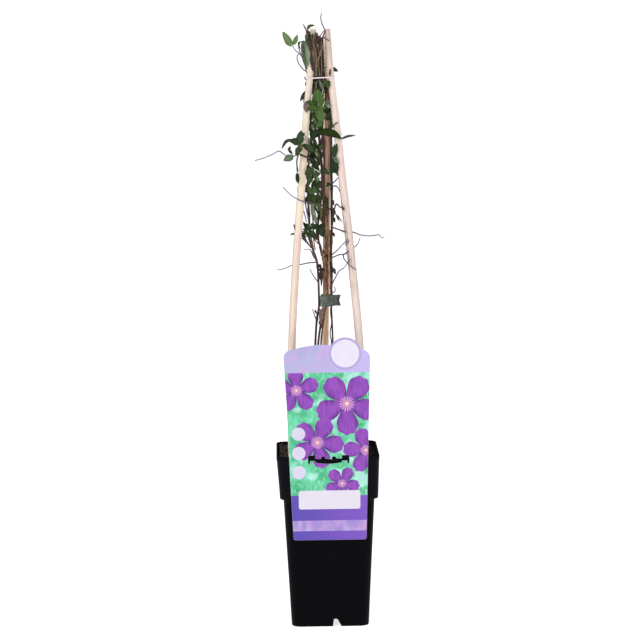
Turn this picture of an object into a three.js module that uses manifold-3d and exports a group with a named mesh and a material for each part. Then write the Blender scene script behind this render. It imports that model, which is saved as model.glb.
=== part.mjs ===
// A young climbing clematis on a tripod of three canes, in its square nursery pot, with its label.
// Millimetres, +Z up, the label faces -Y, the origin is the middle of the pot's underside.
import * as THREE from 'three';
import { mergeVertices } from 'three/addons/utils/BufferGeometryUtils.js';
import Module from 'manifold-3d';

const wasm = await Module();
wasm.setup();
const { Manifold, Mesh: SolidMesh } = wasm;

const GAP = 0.3; // air between two pieces that lie against each other

// ---------------------------------------------------------------------------------------------
// Sizes

const POT = {
  height: 189.7,
  rimHalf: 55,
  collarLowHalf: 53.3,
  collarLowZ: 142,
  bodyTopHalf: 49.4,
  stepZ: 140.6,
  footHalf: 42.1,
  corner: 10,
  wall: 1.2,
  floorLowZ: 9.4,
  floorTopZ: 10.8,
  ribWidth: 1.6,
  ribLowZ: 1,
  bossRadius: 6,
  drainRadius: 4,
  drainOffset: 22,
  footEdge: 0.5,
  footEdgeZ: 1.4,
  stepEdge: 1.2,
  collarEdge: 0.8,
  bossSides: 12,
  drainSides: 8,
};

// The notch in the foot of each side, to one side of the rib that meets the wall there.
const NOTCH = [[2.5, -1], [12.2, -1], [11.4, 1.4], [8, 8.4], [3.6, 8.4], [2.8, 1.4]];
const NOTCH_DEPTH = 6;

// The compost is heaped towards the left and the back, lumpy all over.
const HEAP = {
  edgeZ: 182,
  topZ: 183,
  leanX: -0.045,
  leanY: 0.03,
  lumps: 3.4,
  belowStep: 1,
  aboveCollar: 2.6,
  rings: [0.995, 0.74, 0.46, 0.16],
  seed: 19,
};

const CANES = {
  cane_left: {
    route: [
      [-36, -31, 46], [-38.2, -32.6, 120], [-39.4, -33.4, 185], [-38.2, -28, 302.7], [-29.4, -20, 431],
      [-24.4, -16, 485], [-19.2, -10.8, 550], [-14.3, -7.2, 597], [-10.1, -4, 647],
    ],
    radii: [4.2, 4.2, 4.15, 3.85, 3.2],
    color: 'canePale',
  },
  cane_right: {
    route: [
      [35, -31, 46], [37.4, -32.6, 120], [38.4, -33.4, 185], [35.3, -28, 306], [27.4, -21.1, 402],
      [19, -15.2, 485], [13.8, -11.1, 541], [8.1, -7, 597], [4.8, -4, 647],
    ],
    radii: [4.4, 4.4, 4.35, 4, 3.2],
    color: 'canePale',
  },
  cane_back: {
    route: [
      [-3.4, 34, 46], [-3, 36.5, 120], [-2, 38, 185], [-0.3, 30, 314], [1.9, 23.5, 400],
      [2.9, 18, 470], [4.2, 12, 543], [4.5, 8, 605], [4.5, 5.5, 640],
    ],
    radii: [3.75, 3.7, 3.6, 3.5, 3.2],
    color: 'caneDark',
  },
};
const CANE_SIDES = 9;
const CANE_STATIONS = 14;

const BAND = { height: 595, rise: 0.04, radius: 0.7, sides: 6, caneRadius: 3.8 };
const TIE = {
  low: 344.7,
  high: 357.2,
  thickness: 0.8,
  play: 1, // the stems lean a little inside the tape's height
  stems: ['stem_middle', 'stem_slim', 'stem_right'],
  caneRadius: 3.7,
  tailTip: 15.8,
  tailThickness: 1.2,
  notch: 1.8,
};
const LABEL = { thickness: 0.8, back: -55.3, lean: 0.035, tabHalf: 11, tabLow: 185.6 };

// Each stem is a route from the compost to its cut end. A twig leaves the stem at a height, or starts
// from a point of an earlier twig. The radii are spread evenly along it.
const STEM_SIDES = 5;
const TWIG_SIDES = 4;
const TENDRIL = [0.62, 0.45];
const PETIOLE = [0.9, 0.7];
const CLIMBER = [1, 0.75];
const STRAND = [0.75, 0.65];
const STEMS = {
  stem_left: {
    radii: [1.3, 1.2, 1.1, 1, 0.85],
    route: [
      [-14, 6, 150], [-13.6, 7.5, 200], [-12.8, 11, 260], [-12, 14, 303], [-9.8, 15.6, 331],
      [-7.4, 16, 345], [-7.3, 16, 357], [-8, 14, 383], [-9.1, 11, 395], [-14.2, 6, 411], [-17.8, 2, 423],
      [-17, 0, 439], [-17.7, 0, 460], [-18.4, 2, 474], [-17.8, 4, 490], [-16.4, 5, 506], [-12.9, 4, 528],
      [-11, 3, 549], [-10.8, 1, 571], [-9.2, -3.8, 595], [-9.2, -8.4, 605], [-10.4, -11.2, 614],
      [-11.6, -12, 627], [-12.2, -12, 638],
    ],
    twigs: [
      {
        at: 571,
        radii: STRAND,
        to: [
          [-11.6, 0.2, 583], [-10.3, -0.8, 595], [-8.8, -1.2, 606], [-8.2, -2.4, 617], [-7.2, -3.2, 634],
        ],
      },
      {
        at: 591,
        radii: STRAND,
        to: [[-9.3, -5, 598], [-9.8, -9.9, 605], [-12, -11.4, 614], [-13.5, -12, 625], [-14, -12.2, 634]],
      },
      {
        at: 606,
        radii: STRAND,
        to: [[-9.6, -10.8, 612], [-10, -12.5, 621], [-11.2, -12.9, 631], [-10.8, -12.7, 640]],
      },
      {
        at: 508,
        radii: TENDRIL,
        to: [
          [-17, -6, 508], [-17.5, -16, 509], [-21, -21.5, 511], [-28, -22, 514], [-34, -22, 511],
          [-41, -22, 512], [-49, -22, 517], [-55, -21, 514], [-65, -20, 510], [-75, -18, 507],
        ],
      },
      { from: [-28, -22, 514], radii: PETIOLE, to: [[-30, -23, 505], [-28.7, -22.4, 495]] },
      {
        at: 459,
        radii: TENDRIL,
        to: [[-19, -14, 460], [-22, -23, 462], [-27, -24, 464], [-36, -23, 469], [-45, -20, 478]],
      },
      { at: 439, radii: TENDRIL, to: [[-19.3, -2, 449], [-21.3, -2.6, 460], [-21.9, -2.6, 468]] },
      { at: 409, radii: TENDRIL, to: [[-21, 0, 417], [-27, -4, 423]] },
      { at: 396, radii: TENDRIL, to: [[-13, 4, 401], [-17, 0, 409], [-23, -2, 409]] },
      {
        at: 394,
        radii: TENDRIL,
        to: [[-18, 4, 394], [-29, -8, 393], [-36, -12, 393], [-46, -12, 389], [-53, -12, 388]],
      },
      { at: 371, radii: TENDRIL, to: [[-13, 10, 379], [-17, 6, 387]] },
      { at: 329, radii: TENDRIL, to: [[-13, 12, 337], [-15, 10, 343]] },
    ],
  },
  stem_middle: {
    radii: [1.25, 1.05],
    route: [
      [-9, 10, 150], [-9.2, 11, 200], [-9.4, 12, 260], [-8.8, 14, 303], [-5.8, 15, 325],
      [-2.6, 15.4, 345], [-1.6, 15.4, 368], [-1.9, 13.5, 394], [-3.9, 12, 407], [-8.4, 9, 423],
      [-8, 7, 438], [-5.1, 7, 454], [-2.9, 8, 473], [-2.5, 8, 493], [-3.6, 7, 506], [-4.8, 5, 522],
      [-5.7, 3, 544], [-6.5, 1, 566], [-6.2, -1, 595], [-6.5, -5.5, 606], [-6.5, -7.6, 614],
      [-7.2, -9, 627], [-6.2, -8.8, 643],
    ],
    twigs: [
      {
        at: 566,
        radii: STRAND,
        to: [[-5.2, 2.8, 583], [-5, 3.3, 595], [-5.2, 1.6, 606], [-5.2, -1, 618], [-4.8, -2, 632]],
      },
      {
        at: 607,
        radii: STRAND,
        to: [[-7.7, -8.8, 613], [-8.5, -10.8, 622], [-9.3, -11.4, 632], [-8.2, -11, 641]],
      },
      {
        at: 596,
        radii: STRAND,
        to: [[-4.8, -3.8, 603], [-4.3, -7, 612], [-3.4, -9, 622], [-3.5, -9.2, 637]],
      },
      { at: 614, radii: STRAND, to: [[-5.6, -9, 621], [-5.2, -10, 630], [-5.4, -9.6, 640]] },
    ],
  },
  stem_slim: {
    radii: [1, 0.8],
    route: [
      [-4, 14, 150], [-4.4, 15, 200], [-5, 17, 260], [-5.6, 19, 303], [-4.2, 20, 317], [-0.8, 19, 338],
      [1.4, 18.4, 352], [2.4, 18, 368], [1.1, 16, 394], [0.5, 13, 418], [0.5, 12, 438], [0.1, 11, 462],
      [-0.4, 10.4, 478], [0.3, 9.4, 500], [0.1, 8, 522], [-1, 6, 544], [-2.1, 4, 565], [-2.6, 2, 595],
      [-2.7, -1, 606], [-2.7, -3, 614], [-3.6, -5, 630], [-4.3, -6, 638],
    ],
    twigs: [
      {
        at: 565,
        radii: STRAND,
        to: [[-1.6, 5, 583], [-1.6, 4.6, 595], [-1.2, 3, 606], [-0.9, 1.6, 618], [-0.5, 0.6, 632]],
      },
      {
        at: 420,
        radii: CLIMBER,
        to: [
          [-1.4, 13.6, 430], [-2.7, 14, 438], [-1.8, 14.4, 450], [-1.6, 14, 468], [-2.1, 13.6, 484],
          [-3, 13.4, 495], [-2.6, 13, 505], [-1, 12.4, 517], [-1.4, 11, 527], [-2.4, 9.4, 538],
          [-3, 7.6, 552],
        ],
      },
    ],
  },
  stem_right: {
    radii: [1.05, 1, 1.15, 1.5, 1.2, 0.8],
    route: [
      [6, 12, 150], [6.4, 13, 200], [7, 16, 260], [7.4, 18, 302], [7, 19, 324], [6.3, 20, 345],
      [6.8, 20, 362], [7.4, 18, 385], [6.8, 17, 401], [7.7, 15, 427], [7.8, 14, 445], [8, 12, 479],
      [7.8, 11, 500], [8, 9, 522], [7.8, 7, 544], [7, 4.6, 565], [3.8, 2.4, 582], [1.2, -0.6, 595],
      [0.2, -3, 608], [-0.4, -4.6, 627], [-0.6, -5, 638],
    ],
    twigs: [
      {
        at: 575,
        radii: STRAND,
        to: [[3.6, -0.6, 586], [2, -3.4, 595], [0.4, -5, 606], [-0.6, -6, 618], [-1.4, -7.4, 631]],
      },
      {
        at: 627,
        radii: TENDRIL,
        to: [[0, -5, 637], [1.9, -8.4, 646], [-0.9, -7.5, 653], [-2, -6.5, 660], [-1, -6, 664]],
      },
      {
        from: [0, -5, 637],
        radii: TENDRIL,
        to: [[2.2, -8.9, 637.5], [4.6, -9.4, 635.5], [7, -8.9, 634.5]],
      },
      {
        at: 540,
        radii: TENDRIL,
        to: [[8.6, 0, 541], [8.6, -14, 542], [11.5, -16.5, 545], [15, -16, 547]],
      },
      { at: 479, radii: TENDRIL, to: [[13, 6, 484], [17, 2, 489]] },
      { at: 477, radii: TENDRIL, to: [[13, 8, 477], [15, 4, 475], [17, 2, 470]] },
      {
        at: 444,
        radii: PETIOLE,
        to: [
          [10, 8, 450], [12.2, 0, 457.6], [14, -8, 457.6], [15.2, -15.8, 456.4], [17, -22.6, 455.4],
          [19.4, -24, 454.4],
        ],
      },
      {
        at: 453,
        radii: TENDRIL,
        to: [[5.4, 7.4, 452.6], [1.1, 6, 451], [-2, 5.4, 447.2], [-3.6, 5, 441]],
      },
      {
        at: 432,
        radii: TENDRIL,
        to: [
          [15, 4, 430], [20, -6, 429], [27, -9, 428.5], [33, -12, 427], [37, -14, 424], [46, -15, 423],
          [53, -14, 423], [58, -14, 424], [60, -14, 421], [64, -14, 420],
        ],
      },
      {
        from: [15, 4, 430],
        radii: TENDRIL,
        to: [[18, -14, 429.5], [20.5, -22.5, 429], [22.5, -24, 429]],
      },
      {
        at: 401,
        radii: TENDRIL,
        to: [[16, 4, 409], [18.4, -17, 416], [22, -25.4, 419], [24, -26, 421]],
      },
      { at: 398, radii: TENDRIL, to: [[15, 8, 402], [19, -12, 404], [22, -23, 406], [25, -26, 407]] },
      {
        from: [15, 8, 402],
        radii: TENDRIL,
        to: [[24, -6, 405], [31, -8, 411], [35, -9, 415], [38, -9, 422]],
      },
      {
        from: [19, -12, 404],
        radii: TENDRIL,
        to: [[20, -22, 399.5], [24, -27, 395], [27, -27.8, 392], [33, -26.8, 388]],
      },
      {
        at: 368,
        radii: TENDRIL,
        to: [
          [10, 12, 375], [15, 4, 382], [19, -8, 387], [21.4, -19, 392], [24.4, -26.8, 398],
          [26.5, -27.2, 400],
        ],
      },
      { at: 360, radii: TENDRIL, to: [[10, 18, 360.5], [10.8, 17.6, 363.5], [9.4, 17.4, 366]] },
    ],
  },
};

// A spray is a stalk that leaves a stem (or a twig, from a point of it) and its blades. A blade is its
// width and the points of its midrib from stalk to tip.
const STALK_RADII = [0.65, 0.5];
const SPRAYS = {
  leaf_top_left: {
    color: 'leafGrey',
    from: ['stem_left', 588],
    stalk: [
      [-14.5, -1.5, 594], [-17.4, -2.5, 599.7], [-18.7, -3.6, 604.6], [-20, -4, 611.1],
      [-22.6, -4, 617.1], [-25.8, -4, 621.4], [-29.4, -3.6, 624.4], [-33, -3, 630],
    ],
    more: [
      [
        [-18, -3, 602], [-20, -3.6, 602.8], [-23.3, -4, 606.3], [-26.3, -4, 610.6], [-27.8, -4, 615],
        [-27.6, -4, 619], [-25.4, -4, 621.2],
      ],
      [
        [-22.6, -4, 617.1], [-24.8, -6, 623], [-26.2, -7, 629], [-24.8, -7.8, 633], [-20.8, -8.2, 634.4],
      ],
    ],
    blades: [
      [9.5, [-33, -3, 630], [-38.5, -5, 640], [-43, -6, 645]], [6.5, [-32.5, -3, 630.5], [-27, -5, 642]],
      [10.6, [-21, -8.2, 634.4], [-18.8, -9.4, 626], [-18.2, -8.8, 615], [-17.8, -7.2, 604]],
    ],
  },
  leaf_fuzzy_shoot: {
    color: 'leafDark',
    from: ['stem_left', 626],
    stalk: [[-15, -10.6, 631], [-16.6, -10.4, 638], [-17.6, -10, 646]],
    stalkRadii: [1.5, 1.1],
    blades: [
      [3.8, [-17.4, -10, 645.5], [-13.8, -10.5, 650.4], [-8, -11, 651]],
      [1.8, [-17.6, -10, 645], [-22, -10, 653]], [3.4, [-16, -10.4, 636], [-19.8, -12, 640.5]],
      [3.2, [-16, -10.4, 634], [-12.4, -13, 639.5]], [3.2, [-15.6, -10.4, 632], [-19, -11, 634.5]],
      [3, [-16.8, -10.3, 641], [-13.6, -12.4, 644.5]],
    ],
  },
  leaf_right_top: {
    color: 'leafDark',
    from: ['stem_right', 605],
    stalk: [[5, 0, 606], [9.5, -0.2, 605.4]],
    blades: [
      [4.4, [9, -0.2, 605.5], [16.4, -1, 601.6]],
    ],
  },
  leaf_left_drooping: {
    color: 'leafDark',
    from: ['stem_left', 576],
    stalk: [[-14, -1.6, 580], [-18, -3, 580]],
    blades: [
      [4.8, [-17.6, -3, 581], [-25.4, -5, 569.6]], [3.8, [-17.6, -3.4, 580], [-21.6, -5, 567.6]],
    ],
  },
  leaf_left_small: {
    color: 'leafDark',
    from: ['stem_left', 589],
    stalk: [[-13.6, 0.4, 591.5], [-17, -0.6, 592]],
    blades: [
      [3.4, [-16.6, -0.6, 592], [-19.8, -3, 586]], [2.8, [-16.6, -0.6, 592], [-21, -2, 596.5]],
    ],
  },
  leaf_bright_cluster: {
    color: 'leafBright',
    from: ['stem_middle', 560],
    stalk: [[-6, -6, 562], [-6.2, -10, 562]],
    blades: [
      [16.5, [-6.2, -9.6, 562.6], [-6, -9.6, 573], [-7.4, -11.4, 584]],
      [7.6, [-6.6, -10, 563], [-12, -13, 567], [-19, -16.4, 570]],
      [8.4, [-6.6, -10, 561], [-13, -13.6, 562.4], [-19.4, -16.4, 560.4]],
      [6, [-5.6, -10, 562.6], [3, -12.6, 562.4]],
      [12.4, [-6, -10, 561.4], [-4, -13.4, 555], [-2, -13.6, 547]],
    ],
  },
  leaf_wrinkled: {
    color: 'leafGreen',
    from: ['stem_middle', 548],
    stalk: [[-6, -5, 549.6], [-6.2, -8.6, 550]],
    blades: [
      [7.4, [-6.4, -8.4, 550], [-14, -11, 551.6]], [9.4, [-6.4, -8.6, 549.4], [-9.8, -10.6, 539.4]],
      [7.4, [-5.8, -8.6, 549.4], [-1.4, -10, 540]], [5.4, [-6.4, -8.4, 550.4], [-13.4, -10.4, 557]],
    ],
  },
  leaf_dark_right: {
    color: 'leafDark',
    from: ['stem_slim', 545],
    stalk: [[0, 0, 550], [4.2, -4, 556]],
    blades: [
      [6.6, [4, -3.8, 555.8], [1, -6, 567]], [5.8, [4.2, -4, 556], [10, -4.6, 565]],
      [7.4, [4.2, -4, 555.6], [10, -6, 550]], [4.8, [3.8, -3.8, 555.6], [2, -6, 548.6]],
    ],
  },
  leaf_arched: {
    color: 'leafDark',
    from: ['stem_middle', 534],
    stalk: [[-4, -8, 535], [-3.4, -16.6, 536.4]],
    blades: [
      [8.8, [-4, -16.6, 536.6], [4.6, -19, 536.4], [12.3, -21, 533.6], [18.6, -23, 529]],
      [2.8, [18, -22.6, 529.2], [25, -23, 532], [34, -23, 533]],
      [8.8, [-3, -16.6, 536.6], [-8.5, -18.6, 535], [-15, -19, 529]],
    ],
  },
  leaf_left_rounded: {
    color: 'leafGrey',
    from: [-34, -22, 511],
    stalk: [[-34.6, -24, 510.8]],
    blades: [
      [9.4, [-34, -23.6, 511], [-44.4, -26, 506.6]],
    ],
  },
  leaf_left_upper: {
    color: 'leafDark',
    from: [-28, -22, 514],
    stalk: [[-29, -26, 518], [-28, -27, 525]],
    blades: [
      [10.6, [-28, -27, 524], [-25.8, -29.4, 532], [-24.6, -29, 539.4]],
      [6.4, [-28.2, -27, 524.4], [-36, -29, 530]],
      [3.4, [-34.8, -28.8, 529.4], [-41, -31, 527.6], [-46.2, -31, 519.6]],
      [6.4, [-28.6, -26.2, 521.6], [-28.4, -28, 512.4]], [4.4, [-26.4, -28, 530], [-20.8, -28.4, 537.4]],
    ],
  },
  leaf_left_narrow: {
    color: 'leafDark',
    from: [-34, -22, 511],
    stalk: [[-35, -21, 514.6]],
    blades: [
      [3.2, [-34.8, -21.2, 514], [-39.4, -20.4, 520.6]],
    ],
  },
  leaf_left_hanging: {
    color: 'leafDark',
    from: [-30, -23, 505],
    stalk: [[-30, -24.4, 499], [-29.6, -24.6, 493]],
    blades: [
      [6.4, [-29.6, -24.4, 493.4], [-28.4, -25.4, 481.6]],
    ],
  },
  leaf_central: {
    color: 'leafDark',
    from: ['stem_left', 515],
    stalk: [[-14.6, -3, 515], [-14, -8, 515.4]],
    blades: [
      [6.6, [-14.2, -7.8, 515.6], [-15.4, -18.4, 517.6], [-20, -22.4, 520.6], [-24.4, -22.6, 524.6]],
      [7.2, [-14.2, -7.8, 515], [-18.6, -9.4, 503.4]], [7.2, [-14.4, -7.8, 515.8], [-14.8, -9.4, 529]],
      [10, [-13.8, -7.8, 515.2], [-8, -10.4, 512.8], [-3.4, -11, 507.4]],
      [9.4, [-14, -8, 515], [-13, -11, 508], [-11.4, -10.6, 500.6]],
      [7, [-13.4, -8, 515.8], [-5, -9.4, 520]],
    ],
  },
  leaf_mid: {
    color: 'leafGreen',
    from: ['stem_left', 494],
    stalk: [[-15, -3, 497], [-13, -7, 497.4]],
    blades: [
      [9.2, [-13, -6.8, 497.2], [-17.6, -9.6, 494.6], [-21.2, -9.6, 489]],
      [8.8, [-13.4, -6.8, 496.8], [-16.4, -9.4, 488], [-18.4, -9, 476.6]],
      [5.8, [-13, -6.8, 497.4], [-8.4, -6.4, 504]],
      [7.2, [-12.8, -6.8, 496.8], [-9.4, -8.6, 489], [-9, -8, 479.6]],
    ],
  },
  leaf_grey_mid: {
    color: 'leafDark',
    from: ['stem_middle', 496],
    stalk: [[-2, 1, 497], [-2, -2, 497.2]],
    blades: [
      [6.4, [-2, -1.8, 497.2], [6, -4, 489.6]], [4.8, [-2.2, -1.8, 497], [-8, -3, 488]],
    ],
  },
  leaf_low_mid: {
    color: 'leafDark',
    from: ['stem_middle', 486],
    stalk: [[-4, 1, 486.4], [-6.6, -3, 485]],
    blades: [
      [7.2, [-6.8, -2.8, 485], [-11, -5, 476.6]], [6.4, [-6.4, -2.8, 484.8], [-4.6, -5, 474.6]],
      [6, [-6.8, -2.8, 484.6], [-8, -6.4, 472], [-7.6, -6.4, 466.4]],
    ],
  },
  leaf_chain: {
    color: 'leafGreen',
    from: ['stem_middle', 476],
    stalk: [[-3.4, 4, 474], [-4.6, 0.4, 470]],
    blades: [
      [6.8, [-4.6, 0.6, 470.2], [-11, -1.6, 474.6]], [6.8, [-4.6, 0.6, 470], [-10.4, -1.6, 462]],
      [5.4, [-4.4, 0.6, 470], [-3.4, -1.2, 461.6]],
    ],
  },
  leaf_right_pair: {
    color: 'leafOlive',
    from: ['stem_right', 508],
    stalk: [[11, 3, 510], [12, -2, 511]],
    blades: [
      [7.6, [12, -1.8, 510.8], [13.2, -4, 525]], [8, [12, -1.8, 510.6], [13.6, -5, 498.8]],
    ],
  },
  leaf_right_dark: {
    color: 'leafDark',
    from: ['stem_right', 496],
    stalk: [[10.4, 4, 497], [10.8, -0.4, 498]],
    blades: [
      [9.2, [10.6, -0.2, 498], [15.4, -3.6, 490.4]], [7.6, [10.6, -0.2, 497.8], [6.4, -2.6, 490.2]],
    ],
  },
  leaf_bright_small: {
    color: 'leafBright',
    from: ['stem_right', 481],
    stalk: [[6.6, 6, 480]],
    blades: [
      [5.6, [6.8, 6.4, 480.2], [1.2, 3.4, 476.6]],
    ],
  },
  leaf_left_cluster: {
    color: 'leafGreen',
    from: ['stem_left', 470],
    stalk: [[-15, -3, 470], [-13, -4, 470]],
    blades: [
      [7.2, [-13.2, -3.8, 470.2], [-19, -6, 478]], [7, [-13.2, -3.8, 469.8], [-18.4, -5.4, 460.6]],
      [6.4, [-13, -3.8, 470], [-12, -5.4, 459.6]], [6.8, [-13, -3.8, 470.2], [-9.4, -5.6, 478.4]],
    ],
  },
  leaf_long_grey: {
    color: 'leafGrey',
    from: ['stem_left', 457],
    stalk: [[-16, -3, 459], [-14, -4, 459.8]],
    blades: [
      [7.6, [-14.2, -3.8, 459.8], [-12.9, -6.4, 452], [-10.7, -7, 443.6], [-7.4, -6, 437]],
      [6.6, [-13.8, -3.8, 459.8], [-7, -4.4, 457.6], [-4, -4.8, 449.6], [-5.2, -4.8, 439.4]],
    ],
  },
  leaf_sheath: {
    color: 'leafOlive',
    from: ['stem_slim', 466],
    stalk: [[1.4, 8.8, 466.4]],
    blades: [
      [5.4, [1.4, 9, 466.2], [2.6, 8, 458], [2.2, 8.4, 451.6]],
    ],
  },
  leaf_star_left: {
    color: 'leafDark',
    from: ['stem_left', 430],
    stalk: [[-16, -3, 430], [-16, -6, 430.8]],
    blades: [
      [4.7, [-16.4, -5.8, 430.6], [-25.4, -9, 432]], [6, [-16.4, -5.8, 430.2], [-25.4, -10, 425]],
      [6.4, [-16, -5.8, 430.8], [-20, -8, 438.6]], [7, [-15.8, -5.8, 430.8], [-12, -7, 438.8]],
      [4.7, [-16, -5.8, 430.2], [-21, -8, 422.4]], [6.4, [-15.8, -5.8, 430.2], [-12, -8, 423.4]],
    ],
  },
  leaf_star_right: {
    color: 'leafDark',
    from: ['stem_middle', 432],
    stalk: [[-7, 1, 435], [-7, -2, 435.2]],
    blades: [
      [10.6, [-7, -1.8, 435.2], [-4.4, -4.6, 430], [-3, -5, 422.4]],
      [4.7, [-7.2, -1.8, 435], [-9.4, -4, 425]], [4.7, [-7, -1.8, 435.2], [0, -3, 434.6]],
    ],
  },
  leaf_left_tip: {
    color: 'leafDark',
    from: ['stem_left', 424],
    stalk: [[-22.6, -5, 426.4], [-30, -11, 428]],
    blades: [
      [3, [-29.6, -10.8, 428], [-39, -12, 426]],
    ],
  },
  leaf_nub_high: {
    color: 'leafDark',
    from: ['stem_right', 443],
    stalk: [[9.4, 11.4, 443]],
    blades: [
      [4.2, [9, 12, 443], [11.8, 9.6, 437]],
    ],
  },
  leaf_nub_low: {
    color: 'leafDark',
    from: ['stem_right', 426],
    stalk: [[9.2, 12.6, 426]],
    blades: [
      [3.4, [8.8, 13.2, 426], [11, 11, 421.4]],
    ],
  },
  leaf_low_right: {
    color: 'leafDark',
    from: ['stem_right', 388],
    stalk: [[8.8, 15.6, 387.4]],
    blades: [
      [4.7, [8.4, 16, 387.4], [11.8, 13.6, 379.6]],
    ],
  },
  leaf_under_band: {
    color: 'leafDark',
    from: ['stem_slim', 586],
    stalk: [[-2.2, -3, 591], [-1.8, -5, 591.4]],
    blades: [
      [5.6, [-2, -4.6, 591.4], [-0.8, -7.4, 580.6]],
    ],
  },
  leaf_under_band_right: {
    color: 'leafGreen',
    from: ['stem_right', 586],
    stalk: [[3, -6, 590], [3.2, -10.4, 592]],
    blades: [
      [8.6, [3.2, -10, 592], [5.4, -12.4, 582.8]], [4.7, [3, -10, 591.8], [-0.4, -12, 584.4]],
    ],
  },
  bract_mid: {
    color: 'leafDry',
    from: ['stem_left', 383],
    stalk: [[-7, 11.4, 384]],
    blades: [
      [6.4, [-7, 11.6, 384], [-5.4, 9.6, 373.6]], [4.4, [-7, 11.6, 384.4], [-4.6, 9.4, 389]],
    ],
  },
  bract_dry: {
    color: 'leafDry',
    from: ['stem_middle', 330],
    stalk: [[-4.8, 12.6, 333]],
    blades: [
      [6.2, [-4.8, 13, 332.8], [-4.9, 11.6, 320.6]],
    ],
  },
  bract_small: {
    color: 'leafDry',
    from: ['stem_left', 335],
    stalk: [[-10.6, 13.4, 338]],
    blades: [
      [3, [-10.2, 13.8, 337.6], [-12.4, 12.6, 342.4]],
    ],
  },
};

// Leaves on the far side, three blades on a stalk, spread by rule between these heights.
const BACK = {
  count: 9,
  low: 424,
  high: 572,
  reach: 15,
  seed: 41,
  turns: { stem_left: 1.9, stem_right: 0.5, stem_middle: 1.9 },
  spread: 0.6,
  stalk: [0.42, 0.62],
  middle: { width: [5.2, 7.2], length: [0.55, 0.85], turn: 0.1, rise: [-3, -8] },
  upper: { width: [4.6, 5.6], length: 5, turn: 0.8, rise: [7, 10] },
  lower: { width: [4.6, 5.6], length: 4, turn: -0.8, rise: [-7, -10] },
};

const BLADE = {
  thickness: 0.7,
  fold: 0.2,
  wave: 0.07,
  arch: 0.1,
  twist: 0.42,
  sink: 0.9,
  baseHalf: 0.55,
  seed: 7,
};
// Half-widths along a blade, as shares of its widest half, left and right: teeth and the cuts between.
const OUTLINES = [
  {
    from: 7.3,
    along: [0, 0.17, 0.33, 0.47, 0.64, 0.82],
    left: [0, 0.8, 1, 0.7, 0.86, 0.42],
    right: [0, 0.7, 0.92, 0.98, 0.56, 0.5],
  },
  { from: 5, along: [0, 0.24, 0.5, 0.75], left: [0, 1, 0.68, 0.66], right: [0, 0.78, 1, 0.42] },
  { from: 0, along: [0, 0.35, 0.7], left: [0, 1, 0.56], right: [0, 0.84, 0.74] },
];

const LOOKS = {
  potPlastic: [0x15151a, 0.42],
  compost: [0x2e211a, 0.95],
  canePale: [0xe6d2bd, 0.7],
  caneDark: [0xb9946f, 0.75],
  elastic: [0xf2f0ec, 0.55],
  tape: [0x5a6658, 0.6],
  label: [0xb9a6e0, 0.32],
  bark: [0x3f2428, 0.8],
  leafDark: [0x2d4031, 0.6],
  leafGreen: [0x4a6b3a, 0.58],
  leafBright: [0x5c8f3c, 0.55],
  leafGrey: [0x74876c, 0.62],
  leafOlive: [0x5a6138, 0.62],
  leafDry: [0x5a4a34, 0.8],
};

// ---------------------------------------------------------------------------------------------
// Helpers

const vec = (p) => new THREE.Vector3(...p);

function seeded(seed) {
  let state = seed;
  return () => {
    state = (state * 1664525 + 1013904223) % 4294967296;
    return state / 4294967296;
  };
}

function solidOf(points, faces) {
  let volume = 0;
  for (const [a, b, c] of faces) volume += points[a].dot(points[b].clone().cross(points[c]));
  const turned = volume < 0 ? faces.map(([a, b, c]) => [a, c, b]) : faces;
  return new Manifold(new SolidMesh({
    numProp: 3,
    vertProperties: new Float32Array(points.flatMap((p) => p.toArray())),
    triVerts: new Uint32Array(turned.flat()),
  }));
}

function solidOfGeometry(geometry) {
  geometry.deleteAttribute('normal');
  geometry.deleteAttribute('uv');
  const merged = mergeVertices(geometry, 1e-4);
  const place = merged.getAttribute('position');
  const corner = (_, i) => new THREE.Vector3().fromBufferAttribute(place, i);
  const points = Array.from({ length: place.count }, corner);
  const index = Array.from(merged.index.array);
  const faces = [];
  for (let i = 0; i < index.length; i += 3) faces.push(index.slice(i, i + 3));
  return solidOf(points, faces);
}

// The skin between rings of equal count, closed with a fan at each end.
function lofted(rings) {
  const count = rings[0].length;
  const last = (rings.length - 1) * count;
  const faces = [];
  for (let r = 0; r < last; r += count) {
    for (let i = 0; i < count; i += 1) {
      const next = (i + 1) % count;
      faces.push([r + i, r + next, r + count + next], [r + i, r + count + next, r + count + i]);
    }
  }
  for (let i = 1; i < count - 1; i += 1) faces.push([0, i + 1, i], [last, last + i, last + i + 1]);
  return solidOf(rings.flat(), faces);
}

const curveOf = (route) => new THREE.CatmullRomCurve3(route.map(vec), false, 'centripetal');

const HEIGHT_STEPS = 300;

// The first point of a rising curve at a height.
function atHeight(curve, z) {
  let low = curve.getPoint(0);
  for (let i = 1; i <= HEIGHT_STEPS; i += 1) {
    const high = curve.getPoint(i / HEIGHT_STEPS);
    if (high.z >= z) return low.lerp(high, (z - low.z) / (high.z - low.z));
    low = high;
  }
  return low;
}

// A list of values spread evenly from 0 to 1, read at a place between.
function between(values, t) {
  const place = Math.min(t, 0.9999) * (values.length - 1);
  const i = Math.floor(place);
  return THREE.MathUtils.lerp(values[i], values[i + 1], place - i);
}

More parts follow.
